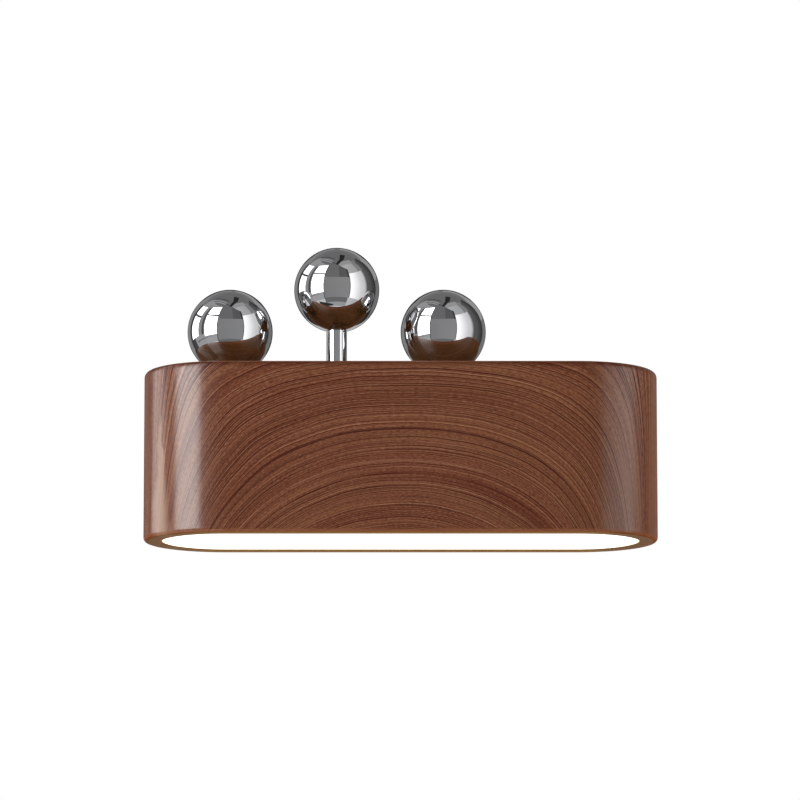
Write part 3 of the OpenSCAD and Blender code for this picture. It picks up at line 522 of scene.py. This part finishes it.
def oblong_sweep(bm, section, half_length):
    """section holds points (distance from the spine, height), in metres."""
    line = polyline(bm, [(half_length, MIDDLE_Y - out, high) for out, high in section])
    for side in (1, -1):
        centre = (side * half_length, MIDDLE_Y, 0)
        spun = bmesh.ops.spin(bm, geom=line, cent=centre, axis=(0, 0, 1), angle=math.pi, steps=END_STEPS)
        swept = bmesh.ops.extrude_edge_only(bm, edges=edges_of(spun["geom_last"]))["geom"]
        moved = verts_of(swept)
        bmesh.ops.translate(bm, verts=moved, vec=(-side * 2 * half_length, 0, 0))
        line = moved + [e for e in edges_of(swept) if set(e.verts) <= set(moved)]
    tidy(bm)


print("a sweep takes", END_STEPS, "steps round each end")

# %% [markdown]
# The wall is 10.5 mm thick and the top 11 mm. Its outer edges are rounded with a router,
# more on top than below, and the inner edge of the mouth only loses its sharpness.

# %% Walnut shell
WALL = RIM_WIDTH * MM
CEILING = 29.0 * MM
TOP_EDGE = 3.5 * MM
BOTTOM_EDGE = 2.5 * MM
MOUTH_EDGE = 0.6 * MM
RIM_REACH = 2e-5
half_depth = END_RADIUS * MM
half_straight = END_CENTRE * MM
top, foot = TOP * MM, FOOT * MM


def on_rim(out, height):
    def near(p):
        beside = math.hypot(max(abs(p.x) - half_straight, 0.0), p.y - MIDDLE_Y)
        return abs(beside - out) < RIM_REACH and abs(p.z - height) < RIM_REACH

    return near


shell = bmesh.new()
inside = half_depth - WALL
shell_section = [
    (0, top), (half_depth, top), (half_depth, foot),
    (inside, foot), (inside, CEILING), (0, CEILING),
]
oblong_sweep(shell, shell_section, half_straight)
round_off(shell, edges_where(shell, on_rim(half_depth, top)), TOP_EDGE, 8)
round_off(shell, edges_where(shell, on_rim(half_depth, foot)), BOTTOM_EDGE, 7)
round_off(shell, edges_where(shell, on_rim(inside, foot)), MOUTH_EDGE, 4)
print("swept shell", len(shell.faces), "faces")

# %% [markdown]
# The back has a shallow rebate for the steel plate and a window behind it for the wires.
# The flat back is cut along the sides of the rebate, its middle is pushed in,
# then the window is cut in the same way and bridged through to the inner side of the wall.

# %% Cut a rectangle out of a flat face
X, Y, Z = 0, 1, 2
TOUCHING = 1e-6


def rectangle(bm, axis, depth, sides):
    """Cut the flat faces at one depth along the sides of a rectangle, and return what lies inside.
    sides: for each axis, the middle of the rectangle and half its width."""

    def within(limits):
        flat = [f for f in bm.faces if all(abs(v.co[axis] - depth) < TOUCHING for v in f.verts)]
        spots = [(f, f.calc_center_bounds()) for f in flat]
        return [f for f, spot in spots if all(abs(spot[a] - sides[a][0]) < sides[a][1] for a in limits)]

    done = []
    for across, (centre, half) in sides.items():
        normal = Vector([float(a == across) for a in (X, Y, Z)])
        for side in (1, -1):
            faces = within(done)
            edges = list({e for f in faces for e in f.edges})
            verts = list({v for f in faces for v in f.verts})
            bmesh.ops.bisect_plane(
                bm, geom=faces + edges + verts, dist=1e-7,
                plane_co=normal * (centre + side * half), plane_no=normal,
            )
        done.append(across)
    return within(done)


def corner_edges(bm, sides, from_y, to_y):
    def at_corner(p):
        near = all(abs(abs(p[axis]) - half) < TOUCHING for axis, (_, half) in sides.items())
        return near and from_y - TOUCHING < p.y < to_y + TOUCHING

    return [e for e in edges_where(bm, at_corner) if abs(e.verts[0].co.y - e.verts[1].co.y) > 1 * MM]


print("flat faces are those within", TOUCHING / MM, "mm of their plane")

# %% Rebate and window in the back
PLATE_PLAY = 0.3 * MM
REBATE_CORNER = 4.3 * MM
WINDOW_CORNER = 4.0 * MM
plate_low, plate_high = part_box("back_plate")
REBATE = {X: (0.0, plate_high.x + PLATE_PLAY), Z: (0.0, plate_high.z + PLATE_PLAY)}
REBATE_DEPTH = -plate_low.y
WINDOW = {X: (0.0, 70.0 * MM), Z: (0.0, 15.0 * MM)}

outer_middle = rectangle(shell, Y, 0.0, REBATE)
pushed = bmesh.ops.extrude_face_region(shell, geom=outer_middle)["geom"]
bmesh.ops.translate(shell, verts=verts_of(pushed), vec=(0, -REBATE_DEPTH, 0))
bmesh.ops.delete(shell, geom=outer_middle, context="FACES_ONLY")
openings = rectangle(shell, Y, -REBATE_DEPTH, WINDOW) + rectangle(shell, Y, -WALL, WINDOW)
loops = [e for f in openings for e in f.edges]
bmesh.ops.delete(shell, geom=openings, context="FACES_ONLY")
bmesh.ops.bridge_loops(shell, edges=loops)
round_off(shell, corner_edges(shell, REBATE, -REBATE_DEPTH, 0.0), REBATE_CORNER, 5)
round_off(shell, corner_edges(shell, WINDOW, -WALL, -REBATE_DEPTH), WINDOW_CORNER, 5)
print("shell with its rebate and window", len(shell.faces), "faces")

# %% [markdown]
# The stem comes up through a plain hole in the top. Below it the hole widens for a brass bush,
# which is screwed in from inside, so nothing of it shows.
# A square is cut out round the hole in the top and in the ceiling. Its sides get as many dots
# as the circle, and the rings between them are bridged one after the other.

# %% Square rims and rings
SQUARE = 10.0 * MM
HOLE_STEPS = 48
stem_low, stem_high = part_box("switch_stem")
axis_x, axis_y = (stem_low.x + stem_high.x) / 2, (stem_low.y + stem_high.y) / 2


def square_rim(bm, height):
    open_before = {e for e in bm.edges if e.is_boundary}
    faces = rectangle(bm, Z, height, {X: (axis_x, SQUARE), Y: (axis_y, SQUARE)})
    rim = [e for e in {e for f in faces for e in f.edges} if len(set(e.link_faces) & set(faces)) == 1]
    bmesh.ops.delete(bm, geom=faces, context="FACES_ONLY")
    loose = [e for e in bm.edges if not e.link_faces]
    bmesh.ops.delete(bm, geom=loose, context="EDGES")
    for edge in [e for e in rim if e.is_valid]:
        pieces = round(edge.calc_length() / (8 * SQUARE / HOLE_STEPS))
        bmesh.ops.subdivide_edges(bm, edges=[edge], cuts=pieces - 1)
    return [e for e in bm.edges if e.is_boundary and e not in open_before]


def hole_ring(bm, radius, height):
    dots = bmesh.ops.create_circle(bm, segments=HOLE_STEPS, radius=radius, cap_ends=False)["verts"]
    to_corner = Matrix.Rotation(math.radians(45), 3, "Z")
    bmesh.ops.rotate(bm, verts=dots, cent=(0, 0, 0), matrix=to_corner)
    bmesh.ops.translate(bm, verts=dots, vec=(axis_x, axis_y, height))
    return list({e for v in dots for e in v.link_edges})


print("stem at", round(axis_x / MM, 1), round(axis_y / MM, 1), "mm")

# %% Hole for the stem
bush_low, bush_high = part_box("guide_bush")
rod = (stem_high.x - stem_low.x) / 2
HOLE = rod + 0.4 * MM
BUSH_HOLE = (bush_high.x - bush_low.x) / 2 + 0.05 * MM
hole_rings = ((HOLE, top), (HOLE, bush_high.z), (BUSH_HOLE, bush_high.z), (BUSH_HOLE, CEILING))

last_ring = square_rim(shell, top)
for radius, height in hole_rings:
    next_ring = hole_ring(shell, radius, height)
    bmesh.ops.bridge_loops(shell, edges=last_ring + next_ring)
    last_ring = next_ring
bmesh.ops.bridge_loops(shell, edges=last_ring + square_rim(shell, CEILING))
bmesh.ops.recalc_face_normals(shell, faces=shell.faces)
finished("walnut_shell", shell, "lamp", "walnut", wood.material, "wood_body")

# %% [markdown]
# The balls are spun from brass sheet and plated with chrome. Chrome is a dark mirror:
# it gives back about two thirds of the light, a little more blue than red.
# A perfect mirror looks like a drawing, so faint smears of cleaning change its gloss.

# %% Chrome
chrome = Finish("chrome_plate", Metallic=1.0)
x, y, z = place(chrome)
smear = noise(chrome, x * 0.06, y * 0.06, z * 0.15, detail=3.0)
haze = noise(chrome, x * 0.9, y * 0.9, z * 0.9, detail=2.0)
plating = blend(step(smear, 0.35, 0.7), paint(207, 208, 210), paint(212, 212, 213))
chrome.wear(Base_Color=plating, Roughness=0.018 + step(smear, 0.4, 0.75) * 0.02 + haze * 0.012)

# %% [markdown]
# A ball stands on a small flat, where its stud goes in. A ready-made sphere has no flat,
# so one dot at the edge of the flat is spun up to the pole, which draws half the outline.
# A full turn of that outline makes the skin, and the skin gets the thickness of the sheet.

# %% Turned pieces
ARC_STEPS = 96


def turned(points, centre, steps=160, arc=None, sheet=None):
    """points: (radius, height) from the bottom up. arc: a pole height that the last point is spun to.
    sheet: the thickness of a hollow piece."""
    bm = bmesh.new()
    line = polyline(bm, [(radius, 0, high) for radius, high in points])
    if arc is not None:
        radius, high = points[-1]
        middle = (arc * arc - radius * radius - high * high) / (2 * (arc - high))
        sweep = math.pi / 2 - math.atan2(high - middle, radius)
        seed = verts_of(line)[-1]
        bmesh.ops.spin(bm, geom=[seed], cent=(0, 0, middle), axis=(0, -1, 0), angle=sweep, steps=ARC_STEPS)
    bmesh.ops.remove_doubles(bm, verts=bm.verts, dist=1e-7)
    bmesh.ops.spin(
        bm, geom=list(bm.verts) + list(bm.edges), cent=(0, 0, 0), axis=(0, 0, 1),
        angle=2 * math.pi, steps=steps, use_merge=True,
    )
    tidy(bm)
    if sheet:
        bmesh.ops.solidify(bm, geom=bm.faces[:], thickness=sheet)
    bmesh.ops.translate(bm, verts=bm.verts, vec=centre)
    return bm


print("a half outline has", ARC_STEPS, "steps")

# %% Chrome balls
STUD_HOLE = 3.05 * MM
SEAT = 6.0 * MM
SEAT_EDGE = 0.15 * MM
SEAT_LIFT = 0.03 * MM
SHEET = 1.0 * MM
seat_line = [(STUD_HOLE, 0.0), (SEAT - SEAT_EDGE, 0.0), (SEAT, SEAT_LIFT)]
for node, body in (("left_ball", "lamp"), ("switch_ball", "push_knob"), ("right_ball", "lamp")):
    low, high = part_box(node)
    seat_at = ((low.x + high.x) / 2, (low.y + high.y) / 2, low.z)
    ball = turned(seat_line, seat_at, arc=high.z - low.z, sheet=SHEET)
    finished(node.replace("_", "_chrome_"), ball, body, "chrome", chrome.material, node)

# %% [markdown]
# The stem is a ground and plated rod with a small chamfer at each end.
# A groove near its foot holds the clip that the spring pushes against.
# It could be three cylinders, but one turned outline has no seams between them.

# %% Stem
GROOVE_DEPTH = 1.2 * MM
CLIP_PLAY = 0.05 * MM
FOOT_CHAMFER = 0.5 * MM
HEAD_CHAMFER = 0.3 * MM
clip_low, clip_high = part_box("stem_clip")
groove = rod - GROOVE_DEPTH
groove_low = clip_low.z - CLIP_PLAY - stem_low.z
groove_high = clip_high.z + CLIP_PLAY - stem_low.z
length = stem_high.z - stem_low.z
stem_line = [
    (0, 0), (rod - FOOT_CHAMFER, 0), (rod, FOOT_CHAMFER),
    (rod, groove_low), (groove, groove_low), (groove, groove_high), (rod, groove_high),
    (rod, length - HEAD_CHAMFER), (rod - HEAD_CHAMFER, length), (0, length),
]
stem = turned(stem_line, (axis_x, axis_y, stem_low.z), 64)
finished("chrome_stem", stem, "push_knob", "chrome", chrome.material, "switch_stem")

# %% [markdown]
# The diffuser is moulded from opal acrylic: a flat face with a thin skirt, which snaps into the mouth.
# A lamp inside a milky sheet would need many samples, so the sheet itself gives off the light,
# a little warmer near its edge, where the LEDs end.

# %% Opal acrylic
LEDS_END, SKIRT_BEGINS = 33.5, 36.6
opal = Finish("opal_acrylic", Roughness=0.32, IOR=1.49, Emission_Strength=1.25)
x, y, z = place(opal)
_, _, from_spine = spine(x, y)
cloud = noise(opal, x * 0.05, y * 0.05, z * 0.05, detail=3.0)
near_skirt = step(from_spine, LEDS_END, SKIRT_BEGINS)
glow_colour = blend(near_skirt, (1.0, 0.985, 0.95, 1.0), (1.0, 0.82, 0.5, 1.0))
milk = blend(cloud, paint(247, 247, 243), paint(240, 240, 234))
opal.wear(Base_Color=milk, Emission_Color=glow_colour)

# %% Diffuser
SKIRT = 1.8 * MM
FACE = 3.0 * MM
FACE_EDGE = 0.6 * MM
low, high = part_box("diffuser")
reach = (high.y - low.y) / 2
lens = bmesh.new()
lens_section = [
    (0, low.z), (reach, low.z), (reach, high.z),
    (reach - SKIRT, high.z), (reach - SKIRT, low.z + FACE), (0, low.z + FACE),
]
oblong_sweep(lens, lens_section, half_straight)
round_off(lens, edges_where(lens, on_rim(reach, low.z)), FACE_EDGE, 3)
finished("opal_diffuser", lens, "lamp", "opal", opal.material, "diffuser")

# %% [markdown]
# Screws, nuts, posts, strap, plates and bracket are zinc-plated steel, the contacts are brass
# and the spring is bare spring steel. Their sheen could be one flat grey, but plating is cloudy,
# and rolling or drawing leaves fine lines. One function gives all three, in other colours.

# %% Steel and brass
def brushed(name, dull, bright, gloss):
    finish = Finish(name, Metallic=1.0)
    x, y, z = place(finish)
    lines = noise(finish, x * 0.4, y * 0.4, z * 4.0, detail=3.0)
    spots = noise(finish, x * 0.3, y * 0.3, z * 0.3, detail=2.0)
    tint = blend(step(spots, 0.1, 0.9), dull, bright)
    return finish.wear(
        Base_Color=blend(step(lines, 0.3, 0.7) * 0.3, tint, dull),
        Roughness=gloss + lines * 0.1 + spots * 0.06,
        Normal=bump(lines, 0.00004, 0.25),
    )


spring_steel = brushed("spring_steel", paint(128, 130, 134), paint(172, 174, 178), 0.2)
zinc_steel = brushed("zinc_steel", paint(158, 160, 164), paint(186, 188, 192), 0.26)
brass = brushed("brass", paint(150, 112, 56), paint(206, 166, 92), 0.22)

# %% [markdown]
# Inside, a coil of spring steel lifts the stem again. Its wire is a small circle that is spun
# six times while it climbs. A stack of rings would be simpler, but it would not look wound.
# In the lamp, when the ball goes down by 5 mm, the coil gets shorter by as much; here it keeps the length
# it has in the construction model.

# %% Return spring
WIRE = 0.5 * MM
COIL = 6.9 * MM
TURNS = 6
PER_TURN = 32
low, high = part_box("return_spring")
coil = bmesh.new()
circle = bmesh.ops.create_circle(coil, segments=10, radius=WIRE, cap_ends=False)["verts"]
bmesh.ops.rotate(coil, verts=circle, cent=(0, 0, 0), matrix=Matrix.Rotation(math.pi / 2, 3, "X"))
bmesh.ops.translate(coil, verts=circle, vec=(COIL, 0, WIRE))
climb = (high.z - low.z - 2 * WIRE) / (TURNS * PER_TURN)
bmesh.ops.spin(
    coil, geom=list(coil.verts) + list(coil.edges), cent=(0, 0, 0), axis=(0, 0, 1), dvec=(0, 0, climb),
    angle=2 * math.pi * TURNS, steps=TURNS * PER_TURN,
)
bmesh.ops.holes_fill(coil, edges=coil.edges, sides=0)
tidy(coil)
bmesh.ops.translate(coil, verts=coil.verts, vec=(axis_x, axis_y, low.z))
spring = finished("spring_coil", coil, "lamp", "spring_steel", spring_steel, "return_spring", crease=60)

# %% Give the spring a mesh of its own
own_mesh(spring)

# %% [markdown]
# Moulded plastic has a fine grain from its mould and goes a little uneven in tone.
# Rubber, enamel and the skins of wires are the same kind of surface, only duller or smoother.
# So one function makes them all, from a colour, a darker shade of it and a gloss.

# %% Plastics, rubber, enamel and wire skins
def moulded(name, colour, shade, gloss):
    finish = Finish(name, IOR=1.5)
    x, y, z = place(finish)
    cloudy = noise(finish, x * 0.07, y * 0.07, z * 0.07, detail=3.0)
    spark = noise(finish, x * 3.0, y * 3.0, z * 3.0, detail=2.0)
    tint = blend(step(cloudy, 0.3, 0.7), colour, shade)
    return finish.wear(
        Base_Color=blend(step(spark, 0.45, 0.75) * 0.2, tint, shade),
        Roughness=gloss + spark * 0.1 + cloudy * 0.06,
        Normal=bump(spark, 0.00003, 0.3),
    )


finishes = {
    "walnut": wood.material,
    "opal": opal.material,
    "chrome": chrome.material,
    "spring_steel": spring_steel,
    "zinc_steel": zinc_steel,
    "brass": brass,
}
for name, colour, shade, gloss in (
    ("white_enamel", (240, 240, 237), (228, 228, 224), 0.22),
    ("white_board", (243, 243, 241), (231, 231, 229), 0.34),
    ("white_plastic", (238, 238, 234), (224, 224, 219), 0.36),
    ("grey_plastic", (206, 206, 203), (190, 190, 187), 0.4),
    ("cream_plastic", (232, 228, 214), (219, 213, 197), 0.38),
    ("black_plastic", (42, 42, 44), (30, 30, 32), 0.4),
    ("red_plastic", (196, 52, 38), (172, 40, 30), 0.36),
    ("black_rubber", (36, 36, 36), (27, 27, 27), 0.6),
    ("wire_brown", (108, 66, 38), (92, 54, 30), 0.34),
    ("wire_blue", (44, 82, 158), (34, 66, 134), 0.34),
    ("wire_green", (94, 148, 62), (78, 126, 50), 0.34),
    ("wire_red", (190, 44, 38), (164, 34, 30), 0.34),
):
    finishes[name] = moulded(name, paint(*colour), paint(*shade), gloss)

# %% [markdown]
# An LED is a pale case with a dome of yellow phosphor, which glows when it is on.
# A lamp could be put into each one, but the diffuser already stands for the light,
# so only a little glow is needed.

# %% Phosphor
phosphor = Finish("phosphor", Roughness=0.4, Emission_Strength=0.6)
x, y, z = place(phosphor)
grains = noise(phosphor, x * 2.0, y * 2.0, z * 2.0, detail=2.0)
yellow = blend(step(grains, 0.3, 0.7), paint(244, 216, 96), paint(230, 192, 62))
finishes["phosphor"] = phosphor.wear(Base_Color=yellow, Emission_Color=yellow)

# %% [markdown]
# The shapes of the other pieces come from the construction model and are right as they are.
# The record of the part says which finish each one wears, so a loop hands them out.

# %% Give each node its finish
for part in frame["record"]["subparts"]:
    mesh = nodes[part["node"]].data
    mesh.materials.clear()
    mesh.materials.append(finishes[part["material_slot"]])

# %% [markdown]
# The lamp is shown against plain white. A white card close behind it would catch its shadow,
# so the white is the world itself, and the pale floor lies far below the lamp.
# Both are bright where they are looked at, also in a mirror, and much dimmer where they only
# light the lamp, so that nothing is washed out.

# %% Floor
FLOOR_SIZE = 8.0
FLOOR_HEIGHT = -3.2


def seen(finish):
    """1 where a surface is looked at, also in a mirror or through glass, and 0 where it only lights."""
    rays = ("Is Camera Ray", "Is Glossy Ray", "Is Transmission Ray")
    direct, mirrored, through = (finish.node("ShaderNodeLightPath", output=ray) for ray in rays)
    return direct.at_least(mirrored).at_least(through)


floor_paint = Finish("floor_paint", Roughness=0.8, Emission_Strength=1.0)
x, y, z = place(floor_paint)
speckle = noise(floor_paint, x * 0.002, y * 0.002)
floor_paint.wear(
    Base_Color=blend(speckle, paint(236, 236, 234), paint(230, 230, 228)),
    Emission_Color=blend(seen(floor_paint), (0.3, 0.3, 0.3, 1.0), (0.55, 0.55, 0.55, 1.0)),
)
floor_shape = bmesh.new()
bmesh.ops.create_grid(floor_shape, x_segments=1, y_segments=1, size=FLOOR_SIZE)
bmesh.ops.translate(floor_shape, verts=floor_shape.verts, vec=(0, 0, FLOOR_HEIGHT))
floor = as_object("floor", floor_shape, floor_paint.material)
print("floor", -FLOOR_HEIGHT, "m below the lamp")


# %% World
class Surround(Finish):
    """The world round the lamp. Its shader is a plain background."""

    def __init__(self, name):
        self.material = bpy.data.worlds.new(name)
        self.material.use_nodes = True
        self.tree = self.material.node_tree
        self.shader = self.tree.nodes["Background"]


LIGHTS_BY = 0.2
white_room = Surround("white_room")
white_room.wear(Color=(1.0, 1.0, 1.0, 1.0), Strength=step(seen(white_room), 0.0, 1.0, LIGHTS_BY, 1.0))
scene.world = white_room.material
print("world: white where it is seen,", LIGHTS_BY, "where it lights")

# %% [markdown]
# Chrome shows the room, so the studio round the lamp matters as much as the metal.
# A picture of a room could hang round the lamp, but plain cards are easier to move and to dim.
# Each is a curved card: a straight line, spun about the lamp by the width of the card.
# Cards give off light evenly or fade from one side to the other, and the camera doesn't see them.

# %% Glowing cards
STUDIO = Vector((-0.04, -0.05, 0.07))
BLACK = (0, 0, 0, 1)
WHITE = (1, 1, 1, 1)


def glow(name, light, fade=None, left=0.0, right=0.0):
    """A card that gives off light evenly, or fades from its left to its right side."""
    finish = Finish(
        name, Roughness=1.0, Base_Color=BLACK, Specular_IOR_Level=0.0,
        Emission_Color=WHITE, Emission_Strength=light,
    )
    if fade is not None:
        x, y, z = place(finish)
        angle = x.math("ARCTAN2", x - STUDIO.x * TO_MM, STUDIO.y * TO_MM - y) * (180 / math.pi)
        finish.wear(Emission_Color=step(angle, left, right, 1.0, fade))
    return finish.material


def hang(name, bm, material):
    bmesh.ops.translate(bm, verts=bm.verts, vec=STUDIO)
    piece = as_object(name, bm, material)
    piece.visible_camera = False
    return piece


print("studio round", [round(v / MM) for v in STUDIO], "mm")

# %% Curved cards
ROOM = 2.0
CARD_STEPS = 16


def card(name, left, right, start, end, light, fade=None, rise=0.0):
    """left and right: degrees from the line to the camera. start and end: (distance, height) of the line.
    rise: by how much the upper edge climbs from left to right."""
    bm = bmesh.new()
    first = math.radians(left)
    turn = math.radians(right - left)
    ends = [(math.sin(first) * far, -math.cos(first) * far, high) for far, high in (start, end)]
    line = polyline(bm, ends)
    bmesh.ops.spin(bm, geom=line, cent=(0, 0, 0), axis=(0, 0, 1), angle=turn, steps=CARD_STEPS)
    for v in bm.verts:
        if rise and abs(v.co.z - end[1]) < 1e-5:
            v.co.z += rise * (math.atan2(v.co.x, -v.co.y) - first) / turn
    return hang(name, bm, glow(name + "_light", light, fade, left, right))


def wall(name, left, right, low, high, light, fade=None, rise=0.0, nearer=0.0):
    """An upright card. low and high: degrees below and above the level."""
    far = ROOM - nearer
    ends = [(far, far * math.tan(math.radians(angle))) for angle in (low, high)]
    return card(name, left, right, *ends, light, fade, rise)


print("walls stand", ROOM, "m from the lamp")

# %% [markdown]
# Two tall windows on the left give most of the light. The first one draws the bright streak on the
# left shoulder of the wood, and both show in the balls with their bars, posts and the bench below.

# %% Windows on the left
FRONT_WINDOW, SIDE_WINDOW = 5.8, 2.7
wall("window_front", -72, -36, -11, 53, FRONT_WINDOW, rise=0.75)
wall("window_sill", -76, -36, -30, -11, 0.5)
wall("window_side", -122, -94, -30, 42, SIDE_WINDOW, rise=0.42)
wall("window_post", -94, -72, -26, 55, 0.36)
wall("window_head", -124, -30, 40, 64, 0.42, nearer=-0.15)
wall("post_edge", -82, -76, -8, 50, 0.09, nearer=0.03)
wall("window_edge", -36.5, -34.5, -30, 55, 0.08, nearer=0.03)
wall("window_bar_front", -72, -36, 33.0, 36.4, 0.03, rise=0.06, nearer=0.03)
wall("window_bar_side", -122, -94, 26.0, 28.6, 0.1, rise=0.06, nearer=0.03)
wall("side_bench", -110, -72, -34, -6, 0.45, nearer=0.05)
wall("side_bench_end", -128, -110, -34, -5, 0.08, nearer=0.05)
wall("bench_rail", -104, -40, -15.5, -13.5, 0.14, rise=-0.06, nearer=0.08)
wall("low_bench", -58, -12, -50, -32, 0.04, rise=-0.85, nearer=0.06)
print("windows give off", FRONT_WINDOW, "and", SIDE_WINDOW)

# %% [markdown]
# A grey wall stands behind the camera, with a carpet below it. The pale screen to its right
# fills the shadows and lights the right shoulder of the wood.
# Thin dark edges between the cards keep them apart in the mirrors.

# %% Grey wall, carpet and pale screen
GREY_WALL, PALE_SCREEN = 0.3, 1.6
wall("grey_wall", -36, 38, -27, 27, GREY_WALL, fade=1.13)
wall("carpet", -36, 34, -40, -26.5, 0.2, nearer=-0.02)
wall("carpet_near", -36, 34, -52, -40, 0.45, nearer=-0.04)
wall("carpet_right", 30, 84, -50, -25, 0.75, fade=0.7, rise=0.1, nearer=-0.05)
wall("grey_wall_top", -36, 8, 27, 62, 0.2)
wall("grey_wall_slope", 8, 38, 27, 62, 0.14, rise=-1.62)
wall("wall_shadow", 33, 38.5, 26, 49, 0.06, nearer=0.03)
wall("screen_edge", 36.8, 38.5, -26, 26, 0.09, nearer=0.03)
wall("pale_screen", 38, 80, -26, 36, PALE_SCREEN, fade=0.54, rise=0.2)
wall("pale_screen_end", 80, 94, -36, 41, 0.86, fade=0.12)
wall("pale_wall_top", 20, 74, 36, 62, 0.62, fade=0.85, rise=0.8, nearer=-0.1)
wall("far_wall_top", 74, 100, 40, 66, 0.3)
print("grey wall gives off", GREY_WALL, "and pale screen", PALE_SCREEN)

# %% [markdown]
# The sides and the back of the room are dim. They show only near the rims of the balls.
# Two dark cards stand for the floor there. They are for the mirrors alone, so they neither
# light the lamp nor throw a shadow on it.

# %% Sides and back of the room
wall("right_wall", 94, 129, -30, 58, 0.14, fade=0.4)
wall("right_corner", 128, 131, -30, 46, 0.03, nearer=0.03)
wall("right_end", 131, 178, 18, 46, 0.4)
wall("right_end_low", 131, 178, -32, 18, 0.22)
wall("left_corner", -133, -122, -30, 40, 0.05)
wall("left_end", -178, -133, -32, 46, 0.3)
for name, left, right in (("dark_floor_left", -180, -128), ("dark_floor_right", 96, 180)):
    shade = wall(name, left, right, -62, -13, 0.03, nearer=0.9)
    shade.visible_diffuse = False
    shade.visible_shadow = False
wall("back_screen", 160, 200, -45, -6, 0.6, nearer=1.0)
wall("back_shade", 158, 202, -6, 34, 0.05, nearer=0.95)
wall("back_of_room", -180, 180, 20, 60, 0.22, nearer=-0.4)

# %% [markdown]
# A grey ceiling closes the room. Two dark beams and a few strips below it give the tops of the balls
# something to mirror. A strip is a flat grid, drawn long and turned from one place to another.

# %% Ceiling
CEILING_HEIGHT = 4.4


def strip(name, start, end, width, light, drop=0.9):
    """A straight strip below the ceiling, from one place to another."""
    start, end = Vector(start), Vector(end)
    run, middle = end - start, (start + end) / 2
    heading = Matrix.Rotation(math.atan2(run.y, run.x), 3, "Z")
    bm = bmesh.new()
    bmesh.ops.create_grid(bm, x_segments=1, y_segments=1, size=0.5)
    bmesh.ops.scale(bm, verts=bm.verts, vec=(run.length, width, 1))
    bmesh.ops.rotate(bm, verts=bm.verts, cent=(0, 0, 0), matrix=heading)
    bmesh.ops.translate(bm, verts=bm.verts, vec=(middle.x, middle.y, CEILING_HEIGHT - drop))
    hang(name, bm, glow(name + "_light", light))


card("ceiling", -180, 180, (0.0, CEILING_HEIGHT), (ROOM + 0.5, CEILING_HEIGHT - 0.4), 0.2)
strip("ceiling_beam", (0.05, -1.7), (0.56, -0.3), 0.4, 0.03)
strip("ceiling_beam_back", (0.54, -0.4), (0.52, 0.9), 0.5, 0.03)
strip("ceiling_strip", (-2.4, 1.3), (-0.55, -1.0), 0.5, 0.45)
strip("ceiling_line_near", (-1.9, 0.7), (-0.1, -1.5), 0.1, 0.06, drop=0.95)
strip("ceiling_line_far", (-2.3, 2.0), (-0.2, -0.4), 0.12, 0.06, drop=0.95)
strip("ceiling_slope", (0.34, -1.85), (1.75, -0.2), 0.8, 0.42, drop=0.85)
print("ceiling", CEILING_HEIGHT, "m above the lamp")

# %% [markdown]
# Both ends, the back and the top would fall into shadow, so four soft lamps fill them.
# Brighter cards could do that too, but they would show in the chrome.
# The lamps are kept out of the mirrors, because a studio hides its fill lights as well.

# %% Fill lights
def fill(name, at, width, height, power):
    data = bpy.data.lights.new(name, "AREA")
    data.shape = "RECTANGLE"
    data.size, data.size_y = width, height
    data.energy = power
    lamp = bpy.data.objects.new(name, data)
    lamp.location = at
    lamp.rotation_euler = (lamp.location - STUDIO).to_track_quat("Z", "Y").to_euler()
    lamp.visible_glossy = False
    lamp.visible_camera = False
    scene.collection.objects.link(lamp)


fill("fill_right", (1.7, 0.05, 0.2), 1.2, 1.6, 32.0)
fill("fill_left", (-1.2, -0.85, 0.15), 0.8, 1.2, 9.2)
fill("fill_back", (0.15, 0.85, 0.3), 0.7, 0.5, 5.0)
fill("fill_top", (0.0, 0.3, 2.0), 1.2, 1.2, 9.0)
